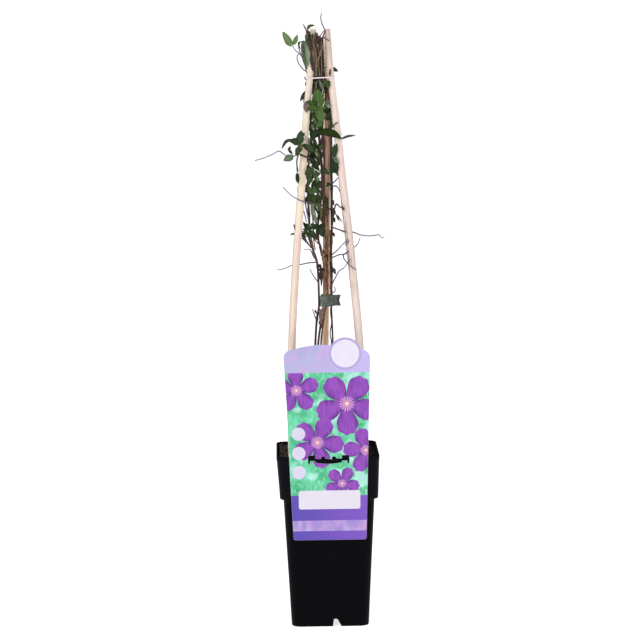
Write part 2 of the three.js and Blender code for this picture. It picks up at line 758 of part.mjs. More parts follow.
// A round rod along a curve, with flat ends that may reach a little further.
function rod(route, radii, sides, stations, further = 0) {
  const curve = curveOf(route);
  const rings = [];
  let side = null;
  for (let s = 0; s <= stations; s += 1) {
    const t = s / stations;
    const along = curve.getTangent(t);
    side = side ?? new THREE.Vector3(0, 1, 0).cross(along).normalize();
    if (s === 0 && side.length() < 0.5) side.set(1, 0, 0);
    side.addScaledVector(along, -side.dot(along)).normalize();
    const up = along.clone().cross(side);
    const radius = between(radii, t);
    const middle = curve.getPoint(t);
    if (s === 0) middle.addScaledVector(along, -further);
    if (s === stations) middle.addScaledVector(along, further);
    rings.push(Array.from({ length: sides }, (_, i) => {
      const turn = (2 * Math.PI * i) / sides;
      return middle.clone()
        .addScaledVector(side, radius * Math.cos(turn))
        .addScaledVector(up, radius * Math.sin(turn));
    }));
  }
  return lofted(rings);
}

const LOOP_STEPS = 11;

// The tight loop of cord round some round things, as points of the plane that run anticlockwise.
function loopRound(circles, gap) {
  const points = circles.flatMap(({ x, y, radius }) => Array.from({ length: LOOP_STEPS }, (_, i) => {
    const turn = (2 * Math.PI * (i + 0.5)) / LOOP_STEPS;
    return new THREE.Vector2(x + (radius + gap) * Math.cos(turn), y + (radius + gap) * Math.sin(turn));
  }));
  points.sort((a, b) => a.x - b.x || a.y - b.y);
  const half = (list) => {
    const chain = [];
    for (const p of list) {
      while (chain.length > 1) {
        const [a, b] = chain.slice(-2);
        if (b.clone().sub(a).cross(p.clone().sub(b)) > 1e-9) break;
        chain.pop();
      }
      chain.push(p);
    }
    return chain.slice(0, -1);
  };
  return [...half(points), ...half(points.reverse())];
}

const largest = (solid) => solid.decompose().sort((a, b) => b.volume() - a.volume())[0];

// ---------------------------------------------------------------------------------------------
// Pot and compost

// A square with round corners, and as many points as asked along each straight side.
function squareRing(half, corner, z, extra) {
  const ring = [];
  const perCorner = 3;
  const centre = half - corner;
  for (let c = 0; c < 4; c += 1) {
    for (let i = 0; i <= perCorner; i += 1) {
      const turn = (Math.PI / 2) * (c + i / perCorner);
      const signX = c === 0 || c === 3 ? 1 : -1;
      const signY = c < 2 ? 1 : -1;
      ring.push(new THREE.Vector3(
        signX * centre + corner * Math.cos(turn),
        signY * centre + corner * Math.sin(turn),
        z,
      ));
    }
    const facing = (Math.PI / 2) * (c + 1);
    const outward = new THREE.Vector3(Math.cos(facing), Math.sin(facing), 0);
    const onward = new THREE.Vector3(-outward.y, outward.x, 0);
    for (let i = 1; i <= extra; i += 1) {
      const along = centre * ((2 * i) / (extra + 1) - 1);
      ring.push(outward.clone().multiplyScalar(half).addScaledVector(onward, along).setZ(z));
    }
  }
  return ring;
}

const { lerp, mapLinear } = THREE.MathUtils;
const bodyHalf = (z) => lerp(POT.footHalf, POT.bodyTopHalf, z / POT.stepZ);
const collarHalf = (z) => mapLinear(z, POT.collarLowZ, POT.height, POT.collarLowHalf, POT.rimHalf);

function potRing(half, z, inset, extra = 0) {
  return squareRing(half - inset, POT.corner - inset, z, extra);
}

function box(x0, x1, y0, y1, z0, z1) {
  const geometry = new THREE.BoxGeometry(x1 - x0, y1 - y0, z1 - z0);
  geometry.translate((x0 + x1) / 2, (y0 + y1) / 2, (z0 + z1) / 2);
  return solidOfGeometry(geometry);
}

function post(x, y, radius, z0, z1, sides) {
  const geometry = new THREE.CylinderGeometry(radius, radius, z1 - z0, sides);
  geometry.rotateX(Math.PI / 2);
  geometry.translate(x, y, (z0 + z1) / 2);
  return solidOfGeometry(geometry);
}

function makePot() {
  const { wall } = POT;
  const shell = lofted([
    potRing(bodyHalf(POT.floorLowZ), POT.floorLowZ, wall),
    potRing(POT.footHalf, 0, wall),
    potRing(POT.footHalf - POT.footEdge, 0, 0),
    potRing(bodyHalf(POT.footEdgeZ), POT.footEdgeZ, 0),
    potRing(POT.bodyTopHalf, POT.stepZ, 0),
    potRing(POT.collarLowHalf - POT.collarEdge, POT.collarLowZ, 0),
    potRing(POT.collarLowHalf, POT.collarLowZ + POT.collarEdge, 0),
    potRing(POT.rimHalf, POT.height, 0),
    potRing(POT.rimHalf, POT.height, wall),
    potRing(POT.collarLowHalf, POT.collarLowZ + 2 * POT.collarEdge, wall),
    potRing(POT.bodyTopHalf, POT.stepZ - POT.stepEdge, wall),
    potRing(bodyHalf(POT.floorTopZ), POT.floorTopZ, wall),
  ]);
  const reach = bodyHalf(POT.ribLowZ) - wall / 2;
  const web = POT.ribWidth / 2;
  const ribTop = lerp(POT.floorLowZ, POT.floorTopZ, 0.3);
  const ribs = [
    box(-reach, reach, -web, web, POT.ribLowZ, ribTop),
    box(-web, web, -reach, reach, POT.ribLowZ, ribTop),
  ];
  const boss = post(0, 0, POT.bossRadius, 0, ribTop, POT.bossSides);
  let pot = Manifold.union([shell, ...ribs, boss]);
  const notch = new THREE.Shape(NOTCH.map(([x, z]) => new THREE.Vector2(x, z)));
  for (let quarter = 0; quarter < 4; quarter += 1) {
    const cutter = new THREE.ExtrudeGeometry(notch, { depth: NOTCH_DEPTH, bevelEnabled: false });
    cutter.rotateX(Math.PI / 2);
    cutter.translate(0, NOTCH_DEPTH / 2 - reach, 0);
    cutter.rotateZ((Math.PI / 2) * quarter);
    pot = pot.subtract(solidOfGeometry(cutter));
  }
  for (const x of [-POT.drainOffset, POT.drainOffset]) {
    for (const y of [-POT.drainOffset, POT.drainOffset]) {
      const drain = post(x, y, POT.drainRadius, POT.floorLowZ - 2, POT.floorTopZ + 2, POT.drainSides);
      pot = pot.subtract(drain);
    }
  }
  return pot;
}

function makeCompost(holes) {
  const random = seeded(HEAP.seed);
  const inset = POT.wall + GAP;
  const lowZ = POT.floorTopZ + GAP;
  const edge = potRing(collarHalf(HEAP.edgeZ), HEAP.edgeZ, inset, 2);
  const surface = (share) => edge.map((p) => new THREE.Vector3(
    p.x * share,
    p.y * share,
    HEAP.topZ + share * (HEAP.leanX * p.x + HEAP.leanY * p.y) + HEAP.lumps * (random() - 0.5),
  ));
  const heap = lofted([
    potRing(bodyHalf(lowZ), lowZ, inset, 2),
    potRing(POT.bodyTopHalf, POT.stepZ - HEAP.belowStep, inset, 2),
    potRing(POT.collarLowHalf, POT.collarLowZ + HEAP.aboveCollar, inset, 2),
    ...HEAP.rings.map(surface),
  ]);
  return heap.subtract(holes);
}

// ---------------------------------------------------------------------------------------------
// Band, tie and label

function circlesAt(curves, z) {
  return curves.map(({ curve, radius }) => {
    const { x, y } = atHeight(curve, z);
    return { x, y, radius };
  });
}

function makeBand(curves) {
  const loop = loopRound(circlesAt(curves, BAND.height), GAP + BAND.radius);
  const count = loop.length;
  const { sides, radius } = BAND;
  const points = [];
  const faces = [];
  loop.forEach((p, i) => {
    const along = loop[(i + 1) % count].clone().sub(loop[(i + count - 1) % count]).normalize();
    for (let k = 0; k < sides; k += 1) {
      const turn = (2 * Math.PI * k) / sides;
      const out = radius * Math.cos(turn);
      points.push(new THREE.Vector3(
        p.x + out * along.y,
        p.y - out * along.x,
        BAND.height + BAND.rise * p.x + radius * Math.sin(turn),
      ));
      const next = (k + 1) % sides;
      const far = ((i + 1) % count) * sides;
      faces.push([i * sides + k, far + k, far + next], [i * sides + k, far + next, i * sides + next]);
    }
  });
  return solidOf(points, faces);
}

function makeTie(curves) {
  const circles = circlesAt(curves, (TIE.low + TIE.high) / 2);
  const inner = loopRound(circles, TIE.play);
  const outer = new THREE.Shape(loopRound(circles, TIE.play + TIE.thickness));
  outer.holes.push(new THREE.Path(inner));
  const loop = new THREE.ExtrudeGeometry(outer, { depth: TIE.high - TIE.low, bevelEnabled: false });
  loop.translate(0, 0, TIE.low);
  const rightmost = inner.reduce((a, b) => (b.x > a.x ? b : a));
  const start = rightmost.x + TIE.thickness / 2;
  const middle = (TIE.low + TIE.high) / 2;
  const flag = new THREE.Shape([
    [start, TIE.low], [TIE.tailTip, TIE.low + 0.4], [TIE.tailTip - TIE.notch, middle],
    [TIE.tailTip, TIE.high], [start, TIE.high],
  ].map(([x, z]) => new THREE.Vector2(x, z)));
  const tail = new THREE.ExtrudeGeometry(flag, { depth: TIE.tailThickness, bevelEnabled: false });
  tail.rotateX(Math.PI / 2);
  tail.translate(0, rightmost.y + TIE.tailThickness / 2, 0);
  return solidOfGeometry(loop).add(solidOfGeometry(tail));
}

function makeLabel() {
  const sheet = new THREE.Shape();
  sheet.moveTo(-36.2, 98);
  sheet.lineTo(36.8, 98);
  sheet.quadraticCurveTo(39.7, 98, 39.9, 101);
  sheet.lineTo(42.9, 210);
  sheet.lineTo(45.5, 296);
  sheet.quadraticCurveTo(45.6, 303.5, 35.5, 306.3);
  sheet.absarc(18.7, 301.4, 17.5, 0.28, 2.58, false);
  sheet.quadraticCurveTo(-18, 312.4, -38.7, 306.2);
  sheet.quadraticCurveTo(-47.4, 304.5, -47.3, 297);
  sheet.lineTo(-44.5, 243);
  sheet.lineTo(-41.9, 165);
  sheet.lineTo(-39.1, 101);
  sheet.quadraticCurveTo(-39, 98, -36.2, 98);
  const slot = new THREE.Path();
  slot.moveTo(-22.4, 182);
  slot.lineTo(-22.4, 191);
  slot.lineTo(-14.5, 191);
  slot.lineTo(-14.5, 187.4);
  slot.lineTo(-8.5, 187);
  slot.absarc(-6.2, 187.6, 2.3, Math.PI, 0, true);
  slot.lineTo(3.3, 186.4);
  slot.absarc(5.6, 187.5, 2.3, Math.PI, 0, true);
  slot.lineTo(14.1, 187.4);
  slot.lineTo(14.1, 191);
  slot.lineTo(22.1, 191);
  slot.lineTo(22.1, 182);
  slot.lineTo(20.1, 182);
  slot.lineTo(20.1, 185.2);
  slot.lineTo(14.1, 185.2);
  slot.lineTo(14.1, 183.9);
  slot.quadraticCurveTo(0, 181.2, -14.5, 183.8);
  slot.lineTo(-14.5, 185.2);
  slot.lineTo(-20.4, 185.2);
  slot.lineTo(-20.4, 182);
  slot.closePath();
  sheet.holes.push(slot);
  const plate = new THREE.ExtrudeGeometry(sheet, {
    depth: LABEL.thickness,
    bevelEnabled: false,
    curveSegments: 6,
  });
  plate.rotateX(Math.PI / 2);
  const place = plate.getAttribute('position');
  for (let i = 0; i < place.count; i += 1) {
    const lean = LABEL.lean * (POT.height - place.getZ(i));
    place.setY(i, place.getY(i) + LABEL.back + lean);
  }
  // The tab goes back over the rim and down inside it.
  const over = POT.height + GAP;
  const inside = -POT.rimHalf + POT.wall + 2 * GAP;
  const { tabHalf, thickness, back, tabLow } = LABEL;
  const across = box(-tabHalf, tabHalf, back - thickness / 2, inside + thickness, over, over + thickness);
  const down = box(-tabHalf, tabHalf, inside, inside + thickness, tabLow, over + thickness);
  return Manifold.union([solidOfGeometry(plate), across, down]);
}

// ---------------------------------------------------------------------------------------------
// Stems, twigs and leaves

function stemRods(plan, extra) {
  const curve = curveOf(plan.route);
  const thicker = (radii) => radii.map((radius) => radius + extra);
  const rods = [rod(plan.route, thicker(plan.radii), STEM_SIDES, plan.route.length + 1, extra)];
  for (const twig of plan.twigs) {
    const start = twig.from ?? atHeight(curve, twig.at).toArray();
    rods.push(rod([start, ...twig.to], thicker(twig.radii), TWIG_SIDES, twig.to.length + 1, extra));
  }
  return Manifold.union(rods).asOriginal().simplify(SMOOTH);
}

// A thin folded and waved blade with a toothed edge, split alike on both faces.
function blade([width, ...rib], random) {
  const curve = curveOf(rib);
  const { along, left, right } = OUTLINES.find(({ from }) => width >= from);
  const length = curve.getLength();
  const twist = BLADE.twist * (2 * random() - 1);
  const facing = new THREE.Vector3(Math.sin(twist), -Math.cos(twist), 0.5 * (random() - 0.3)).normalize();
  const faces = [];
  const near = [];
  const depth = [];
  along.forEach((share, i) => {
    const tangent = curve.getTangentAt(share);
    const side = tangent.clone().cross(facing).normalize();
    const face = side.clone().cross(tangent).normalize();
    const arch = BLADE.arch * length * Math.sin(Math.PI * share) * (rib.length === 2 ? 1 : 0);
    const middle = curve.getPointAt(share).addScaledVector(face, arch);
    if (i === 0) middle.addScaledVector(tangent, -BLADE.sink);
    const halfAt = (part) => Math.max(BLADE.baseHalf, (part * width) / 2);
    const lift = (sign) => (i > 0 ? 1 : 0) * width * (BLADE.fold / 2 + BLADE.wave * sign * (i % 2 ? 1 : -1));
    near.push(
      middle.clone().addScaledVector(side, -halfAt(left[i])).addScaledVector(face, lift(1)),
      middle,
      middle.clone().addScaledVector(side, halfAt(right[i])).addScaledVector(face, lift(-1)),
    );
    depth.push(face, face, face);
    if (i > 0) {
      const a = 3 * (i - 1);
      faces.push([a, a + 1, a + 4], [a, a + 4, a + 3], [a + 1, a + 2, a + 5], [a + 1, a + 5, a + 4]);
    }
  });
  const tip = near.length;
  near.push(curve.getPointAt(1));
  depth.push(depth[tip - 1]);
  faces.push([tip - 3, tip - 2, tip], [tip - 2, tip - 1, tip]);
  const half = BLADE.thickness / 2;
  const count = near.length;
  const points = [
    ...near.map((p, i) => p.clone().addScaledVector(depth[i], half)),
    ...near.map((p, i) => p.clone().addScaledVector(depth[i], -half)),
  ];
  const edge = [0, 1, 2];
  for (let i = 5; i < tip; i += 3) edge.push(i);
  edge.push(tip);
  for (let i = tip - 3; i > 0; i -= 3) edge.push(i);
  const skin = faces.flatMap(([a, b, c]) => [[a, b, c], [a + count, c + count, b + count]]);
  edge.forEach((a, i) => {
    const b = edge[(i + 1) % edge.length];
    skin.push([b, a, a + count], [b, a + count, b + count]);
  });
  return solidOf(points, skin);
}

function spray(start, plan, bend, random) {
  const bent = ([x, y, z]) => [x, y + bend, z];
  const stalks = [[start, ...plan.stalk.map(bent)], ...(plan.more ?? []).map((stalk) => stalk.map(bent))];
  const rods = stalks.map((stalk) => rod(stalk, plan.stalkRadii ?? STALK_RADII, TWIG_SIDES, stalk.length));
  const blades = plan.blades.map(([width, ...rib]) => blade([width, ...rib.map(bent)], random));
  return Manifold.union([...rods, ...blades]);
}

// Each spray is bent forward or back until it is clear of what stands there, and its root is cut just
// short of the bark.
const BENDS = [0, -1.2, 1.2, -2.4, 2.4, -3.6, 3.6, -5, 5, -6.5, 6.5, -8, 8];
const CLEAR = 0.25;
const TRIM = 4; // the volume that the bark may cut off a spray
const BETTER = 3; // a further bend has to save this much
const CLASH = 100;
const SMOOTH = 0.04; // slivers that the fusing leaves are dropped below this

function placeSpray(start, plan, seed, bark, standing) {
  let best = null;
  for (const bend of BENDS) {
    const whole = spray(start, plan, bend, seeded(seed));
    const cut = largest(whole.subtract(bark));
    const lost = whole.volume() - cut.volume();
    const close = standing.filter((other) => cut.minGap(other, CLEAR) < CLEAR).length;
    const cost = close * CLASH + lost;
    if (best === null || cost < best.cost - BETTER) best = { cost, cut, close };
    if (close === 0 && lost < TRIM) break;
  }
  return best.close === 0 ? best.cut.asOriginal().simplify(SMOOTH) : null;
}

// ---------------------------------------------------------------------------------------------
// The whole

const group = new THREE.Group();

function add(name, solid, look) {
  const { vertProperties, triVerts } = solid.getMesh();
  const geometry = new THREE.BufferGeometry();
  geometry.setAttribute('position', new THREE.BufferAttribute(new Float32Array(vertProperties), 3));
  geometry.setIndex(new THREE.BufferAttribute(new Uint32Array(triVerts), 1));
  geometry.computeVertexNormals();
  const [color, roughness] = LOOKS[look];
  const mesh = new THREE.Mesh(geometry, new THREE.MeshStandardMaterial({ color, roughness, metalness: 0 }));
  mesh.name = name;
  group.add(mesh);
  return solid;
}

const caneCurves = Object.values(CANES)
  .map(({ route }) => ({ curve: curveOf(route), radius: BAND.caneRadius }));
const tiedCurves = TIE.stems
  .map((name) => ({ curve: curveOf(STEMS[name].route), radius: STEMS[name].radii[0] }));

function caneRod({ route, radii }, extra) {
  return rod(route, radii.map((radius) => radius + extra), CANE_SIDES, CANE_STATIONS, extra);
}

const holes = Manifold.union([
  ...Object.values(CANES).map((cane) => caneRod(cane, GAP)),
  ...Object.values(STEMS).map((plan) => stemRods({ ...plan, twigs: [] }, GAP)),
]);
const bark = Manifold.union(Object.values(STEMS).map((plan) => stemRods(plan, GAP)));

const standing = [];
add('pot', makePot(), 'potPlastic');
add('compost', makeCompost(holes), 'compost');
for (const [name, cane] of Object.entries(CANES)) {
  standing.push(add(name, caneRod(cane, 0), cane.color));
}
standing.push(add('cane_band', makeBand(caneCurves), 'elastic'));
const backAtTie = { curve: curveOf(CANES.cane_back.route), radius: TIE.caneRadius };
standing.push(add('stem_tie', makeTie([...tiedCurves, backAtTie]), 'tape'));
add('plant_label', makeLabel(), 'label');
for (const [name, plan] of Object.entries(STEMS)) add(name, stemRods(plan, 0), 'bark');

function rootOf(from) {
  if (typeof from[0] !== 'string') return from;
  return atHeight(curveOf(STEMS[from[0]].route), from[1]).toArray();
}

let sprayNumber = 0;
function grow(name, plan) {
  sprayNumber += 1;
  const placed = placeSpray(rootOf(plan.from), plan, BLADE.seed + sprayNumber, bark, standing);
  if (placed) standing.push(add(name, placed, plan.color));
}

for (const [name, plan] of Object.entries(SPRAYS)) grow(name, plan);

const random = seeded(BACK.seed);
const drawn = ([low, high]) => THREE.MathUtils.lerp(low, high, random());
const stemNames = Object.keys(BACK.turns);
for (let i = 0; i < BACK.count; i += 1) {
  const name = stemNames[i % stemNames.length];
  const z = THREE.MathUtils.lerp(BACK.low, BACK.high, (i + 0.4 * random()) / BACK.count);
  const [x, y] = rootOf([name, z]);
  const turn = BACK.turns[name] + BACK.spread * random();
  const ahead = (reach, turned, rise) => [
    x + reach * Math.cos(turn + turned), y + reach * Math.sin(turn + turned), z + rise,
  ];
  const near = BACK.reach * drawn(BACK.stalk);
  const far = near + BACK.reach * drawn(BACK.middle.length);
  const bladeTo = ({ width, turn: aside, rise }, tip) => [
    drawn(width), ahead(near, 0, 3), ahead(tip, aside, drawn(rise)),
  ];
  grow(`leaf_back_${i + 1}`, {
    color: ['leafDark', 'leafGreen', 'leafOlive'][i % 3],
    from: [name, z],
    stalk: [ahead(near / 2, 0, 2), ahead(near, 0, 3)],
    blades: [
      bladeTo(BACK.middle, far),
      bladeTo(BACK.upper, near + BACK.upper.length),
      bladeTo(BACK.lower, near + BACK.lower.length),
    ],
  });
}

export default group;
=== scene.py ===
# %% [markdown]
# # A young clematis on its canes, in a nursery pot
# The real thing is a tall black pot of compost, three canes tied together near the top, four thin stems
# that climb between them, and a plastic label that hangs on the pot's rim. The solid model gives the
# place of every piece. This lesson makes the finer pieces that stand in those places, and their finishes.
# First the frame is loaded.

# %% Load the frame
import math
from functools import partialmethod

import bpy
import numpy as np
from mathutils import Matrix, Vector, noise


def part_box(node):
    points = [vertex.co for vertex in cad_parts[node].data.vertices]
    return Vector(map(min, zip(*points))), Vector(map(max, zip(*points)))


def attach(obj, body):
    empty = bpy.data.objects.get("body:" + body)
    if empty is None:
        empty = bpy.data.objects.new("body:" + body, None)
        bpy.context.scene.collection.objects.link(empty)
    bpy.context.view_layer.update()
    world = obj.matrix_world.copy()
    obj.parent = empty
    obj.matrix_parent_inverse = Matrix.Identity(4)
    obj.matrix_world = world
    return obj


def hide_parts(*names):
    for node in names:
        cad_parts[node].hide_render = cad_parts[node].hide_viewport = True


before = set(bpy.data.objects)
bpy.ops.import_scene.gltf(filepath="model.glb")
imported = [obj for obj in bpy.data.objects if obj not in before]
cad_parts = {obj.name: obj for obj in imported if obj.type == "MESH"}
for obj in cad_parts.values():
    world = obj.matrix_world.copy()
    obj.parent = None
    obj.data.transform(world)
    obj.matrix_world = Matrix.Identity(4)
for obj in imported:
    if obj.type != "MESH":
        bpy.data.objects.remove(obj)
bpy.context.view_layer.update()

# %% [markdown]
# ## Where it is seen from
# The plant is seen from the front, a little to its left, from the height of the elastic band, with a long
# lens from two and a half metres. The camera is a plain object whose three axes are worked out from the
# turn, the dip and the slight lean of the view. A long lens keeps the canes' slant true.

# %% Camera
MM = 0.001
EYE = (-50.02524, -2608.54821, 605.26371)
TURN, DIP, LEAN = 0.01659747, 0.10453765, -0.01238283
LENS = 135.054


def axes_of_view(turn, dip, lean):
    """The view's right, up and forward directions."""
    forward = Vector((math.sin(turn) * math.cos(dip), math.cos(turn) * math.cos(dip), -math.sin(dip)))
    flat = Vector((math.cos(turn), -math.sin(turn), 0))
    rise = flat.cross(forward)
    right = math.cos(lean) * flat + math.sin(lean) * rise
    up = -math.sin(lean) * flat + math.cos(lean) * rise
    return right, up, forward


right, up, forward = axes_of_view(TURN, DIP, LEAN)
camera = bpy.data.objects.new("camera", bpy.data.cameras.new("camera"))
bpy.context.scene.collection.objects.link(camera)
camera.data.sensor_width = 36
camera.data.lens = LENS
camera.data.clip_end = 20
turned = Matrix((right, up, -forward)).transposed().to_4x4()
camera.matrix_world = Matrix.Translation(Vector(EYE) * MM) @ turned
bpy.context.scene.camera = camera
print("camera at", [round(v, 3) for v in camera.location])

# %% [markdown]
# ## Light and floor
# Plants for sale are shown in soft, even light that comes from all round, on white. A white sky gives most
# of it, a large lamp from the upper left models the canes and leaves, and a weaker one from the right keeps
# the shadows open. The sky is seen as white but shines less than that, so that pale wood keeps its grain.
# The floor is a plain pale sheet that glows a little, and so it meets the sky without a line.

# %% A white sky
scene = bpy.context.scene
scene.view_settings.view_transform = "Standard"
world = bpy.data.worlds.new("soft sky")
world.use_nodes = True
sky = world.node_tree.nodes["Background"]
sky.inputs["Color"].default_value = (1, 1, 1, 1)
seen = world.node_tree.nodes.new("ShaderNodeLightPath").outputs["Is Camera Ray"]
strength = world.node_tree.nodes.new("ShaderNodeMapRange")
strength.inputs["To Min"].default_value = 0.47
strength.inputs["To Max"].default_value = 1.05
world.node_tree.links.new(seen, strength.inputs["Value"])
world.node_tree.links.new(strength.outputs["Result"], sky.inputs["Strength"])
scene.world = world
print("sky", world.name)


# %% Two lamps
def soft_lamp(name, place, size, power):
    """A square lamp that looks at the middle of the plant."""
    lamp = bpy.data.objects.new(name, bpy.data.lights.new(name, "AREA"))
    lamp.data.size = size
    lamp.data.energy = power
    lamp.location = place
    towards = Vector((0, 0, 0.35)) - Vector(place)
    lamp.rotation_euler = towards.to_track_quat("-Z", "Y").to_euler()
    scene.collection.objects.link(lamp)


soft_lamp("key lamp", (-1.5, -2.2, 1.9), 1.2, 30)
soft_lamp("fill lamp", (1.9, -1.8, 1.0), 1.4, 9)

# %% The floor
floor_mesh = bpy.data.meshes.new("floor")
reach = 6
corners = [(-reach, -reach, 0), (reach, -reach, 0), (reach, reach, 0), (-reach, reach, 0)]
floor_mesh.from_pydata(corners, [], [(0, 1, 2, 3)])
floor = bpy.data.objects.new("floor", floor_mesh)
scene.collection.objects.link(floor)
print("floor reaches", reach, "m each way")

# %% [markdown]
# ## Finishes as sums
# A finish is worked out at every point from that point's place: noise for blotches, bands for grain, fine
# relief that only bends the light. The two small helpers below let such a finish be written as ordinary
# sums. Numbers that lie on the pieces themselves, such as how far along a leaf a point is, are read by name.


# %% Colours and numbers of a finish
def tone(red, green, blue):
    """A colour as it looks on a screen, from 0 to 255, turned into light."""
    share = [v / 255 for v in (red, green, blue)]
    return (*[v / 12.92 if v <= 0.04045 else ((v + 0.055) / 1.055) ** 2.4 for v in share], 1)


class Number:
    """A number that a finish works out at each point."""

    def __init__(self, look, socket):
        self.look, self.socket = look, socket

    def step(self, operation, *others):
        return self.look.math(operation, self, *others)

    def flipped(self):
        return self.look.math("SUBTRACT", 1.0, self)

    def ease(self, low, high):
        """0 below low, 1 above high, smooth between. With low above high it falls instead."""
        if low > high:
            return self.ease(high, low).flipped()
        node = self.look.node("MapRange", Value=self, From_Min=low, From_Max=high)
        node.interpolation_type = "SMOOTHSTEP"
        return Number(self.look, node.outputs["Result"])


SIGNS = {"add": "ADD", "sub": "SUBTRACT", "mul": "MULTIPLY", "truediv": "DIVIDE", "abs": "ABSOLUTE"}
for sign, operation in SIGNS.items():
    setattr(Number, f"__{sign}__", partialmethod(Number.step, operation))
print("pale wood as light", [round(v, 2) for v in tone(234, 220, 198)])


# %% A finish being written
class Look:
    """A finish being written. Its colours are three numbers as for tone, or another node's colour."""

    def __init__(self, name):
        self.material = bpy.data.materials.new(name)
        self.material.use_nodes = True
        self.tree = self.material.node_tree
        self.skin = self.tree.nodes["Principled BSDF"]

    def feed(self, slot, item):
        item = item.socket if isinstance(item, Number) else item
        if isinstance(item, bpy.types.NodeSocket):
            self.tree.links.new(item, slot)
        else:
            slot.default_value = item

    def node(self, kind, **items):
        """A new node with some of its inputs fed, by name."""
        node = self.tree.nodes.new("ShaderNode" + kind)
        for name, item in items.items():
            self.feed(node.inputs[name.replace("_", " ")], item)
        return node

    def math(self, operation, *items):
        node = self.node("Math")
        node.operation = operation
        for slot, item in zip(node.inputs, items):
            self.feed(slot, item)
        return Number(self, node.outputs[0])

    def place(self, stretch=(1, 1, 1)):
        """The point's place in millimetres, squeezed or stretched."""
        return self.stretched(self.node("TexCoord").outputs["Object"], [v / MM for v in stretch])

    def kept(self, name, output):
        node = self.node("Attribute")
        node.attribute_name = name
        return node.outputs[output]

    def marks(self):
        """The three numbers kept on the piece at each point."""
        return self.kept("mark", "Vector")

    def side(self):
        """The single number kept on the piece: 1 on cut ends and undersides, 0 elsewhere."""
        return Number(self, self.kept("side", "Fac"))

    def stretched(self, vector, stretch):
        return self.node("Mapping", Vector=vector, Scale=stretch).outputs["Vector"]

    def parts(self, vector):
        return [Number(self, out) for out in self.node("SeparateXYZ", Vector=vector).outputs]

    def noise(self, vector, size, detail=3, rough=0.55):
        """Blotches of about this size, 0 to 1."""
        node = self.node("TexNoise", Vector=vector, Scale=1 / size, Detail=detail, Roughness=rough)
        return Number(self, node.outputs["Fac"])

    def mix(self, share, first, second):
        """The first colour with a share of the second over it."""
        node = self.node("Mix")
        node.data_type = "RGBA"
        self.feed(node.inputs[0], share)
        for slot, colour in ((6, first), (7, second)):
            self.feed(node.inputs[slot], tone(*colour) if isinstance(colour, tuple) else colour)
        return node.outputs[2]

    def coats(self, colour, *coats):
        """A colour with further coats over it, each a share and a colour."""
        for share, coat in coats:
            colour = self.mix(share, colour, coat)
        return colour

    def finish(self, colour, rough, height=None, depth=0.1, strength=0.6, **others):
        """Joins everything up. Height is relief in shares of depth, which is in millimetres."""
        for name, item in dict(Base_Color=colour, Roughness=rough, **others).items():
            self.feed(self.skin.inputs[name.replace("_", " ")], item)
        if height is not None:
            bump = self.node("Bump", Strength=strength, Distance=depth * MM, Height=height)
            self.feed(self.skin.inputs["Normal"], bump.outputs["Normal"])
        return self.material


print("a look offers", [name for name in vars(Look) if name[0] != "_"])

# %% The floor's finish
look = Look("pale floor")
shade = look.noise(look.place(), 400) * 0.02 + 0.94
floor_mesh.materials.append(look.finish(
    look.mix(shade, (0, 0, 0), (255, 255, 255)), 0.9,
    Emission_Color=(1, 1, 1, 1), Emission_Strength=0.74, Specular_IOR_Level=0.0))
print("floor finish ready")

# %% [markdown]
# ## Lines, tubes and pieces
# Nearly everything that grew here is a tube along a smooth line: canes, stems, leaf stalks, tendrils. A
# line passes through a few chosen points and bends evenly between them. The same kind of line was used for
# the solid model, so a fine tube lies exactly where the plain one does. Each point of a tube remembers how
# far round and along it lies, and the grain of the wood and bark follows those numbers.


# %% A smooth line
class Line:
    """A smooth line through points, in millimetres."""

    def __init__(self, points):
        p = np.array(points, float)
        self.spans = len(p) - 1
        self.knots = np.vstack([2 * p[0] - p[1], p, 2 * p[-1] - p[-2]])
        walk = self.at(np.linspace(0, 1, 201))
        self.walked = np.concatenate([[0], np.cumsum(np.linalg.norm(np.diff(walk, axis=0), axis=1))])
        self.length = self.walked[-1]

    def at(self, t):
        """Points at t, which runs evenly from knot to knot."""
        place = np.clip(np.atleast_1d(t), 0, 1) * self.spans
        span = np.minimum(place.astype(int), self.spans - 1)
        w = (place - span)[:, None]
        a, b, c, d = (self.knots[span + k] for k in range(4))
        e, f, g = (np.maximum(np.linalg.norm(q - p, axis=1)[:, None] ** 0.5, 1e-4)
                   for p, q in ((a, b), (b, c), (c, d)))
        start = ((b - a) / e - (c - a) / (e + f) + (c - b) / f) * f
        end = ((c - b) / f - (d - b) / (f + g) + (d - c) / g) * f
        return b + start * w + (3 * (c - b) - 2 * start - end) * w**2 + (2 * (b - c) + start + end) * w**3

    def knot_place(self, share):
        """The t at shares of the line's length."""
        return np.interp(np.atleast_1d(share) * self.length, self.walked, np.linspace(0, 1, 201))

    def direction(self, t):
        step = 1e-4
        way = self.at(np.atleast_1d(t) + step) - self.at(np.atleast_1d(t) - step)
        return way / np.linalg.norm(way, axis=1)[:, None]

    def at_height(self, z):
        walk = self.at(np.linspace(0, 1, 301))
        i = int(np.argmax(walk[:, 2] >= z)) or 1
        share = (z - walk[i - 1, 2]) / (walk[i, 2] - walk[i - 1, 2])
        return walk[i - 1] + share * (walk[i] - walk[i - 1])


print("a line of", Line([(0, 0, 0), (3, 0, 4)]).length.round(2), "mm")


# %% A piece gathered from points and faces
def unit(vectors):
    return vectors / np.linalg.norm(vectors, axis=-1, keepdims=True)


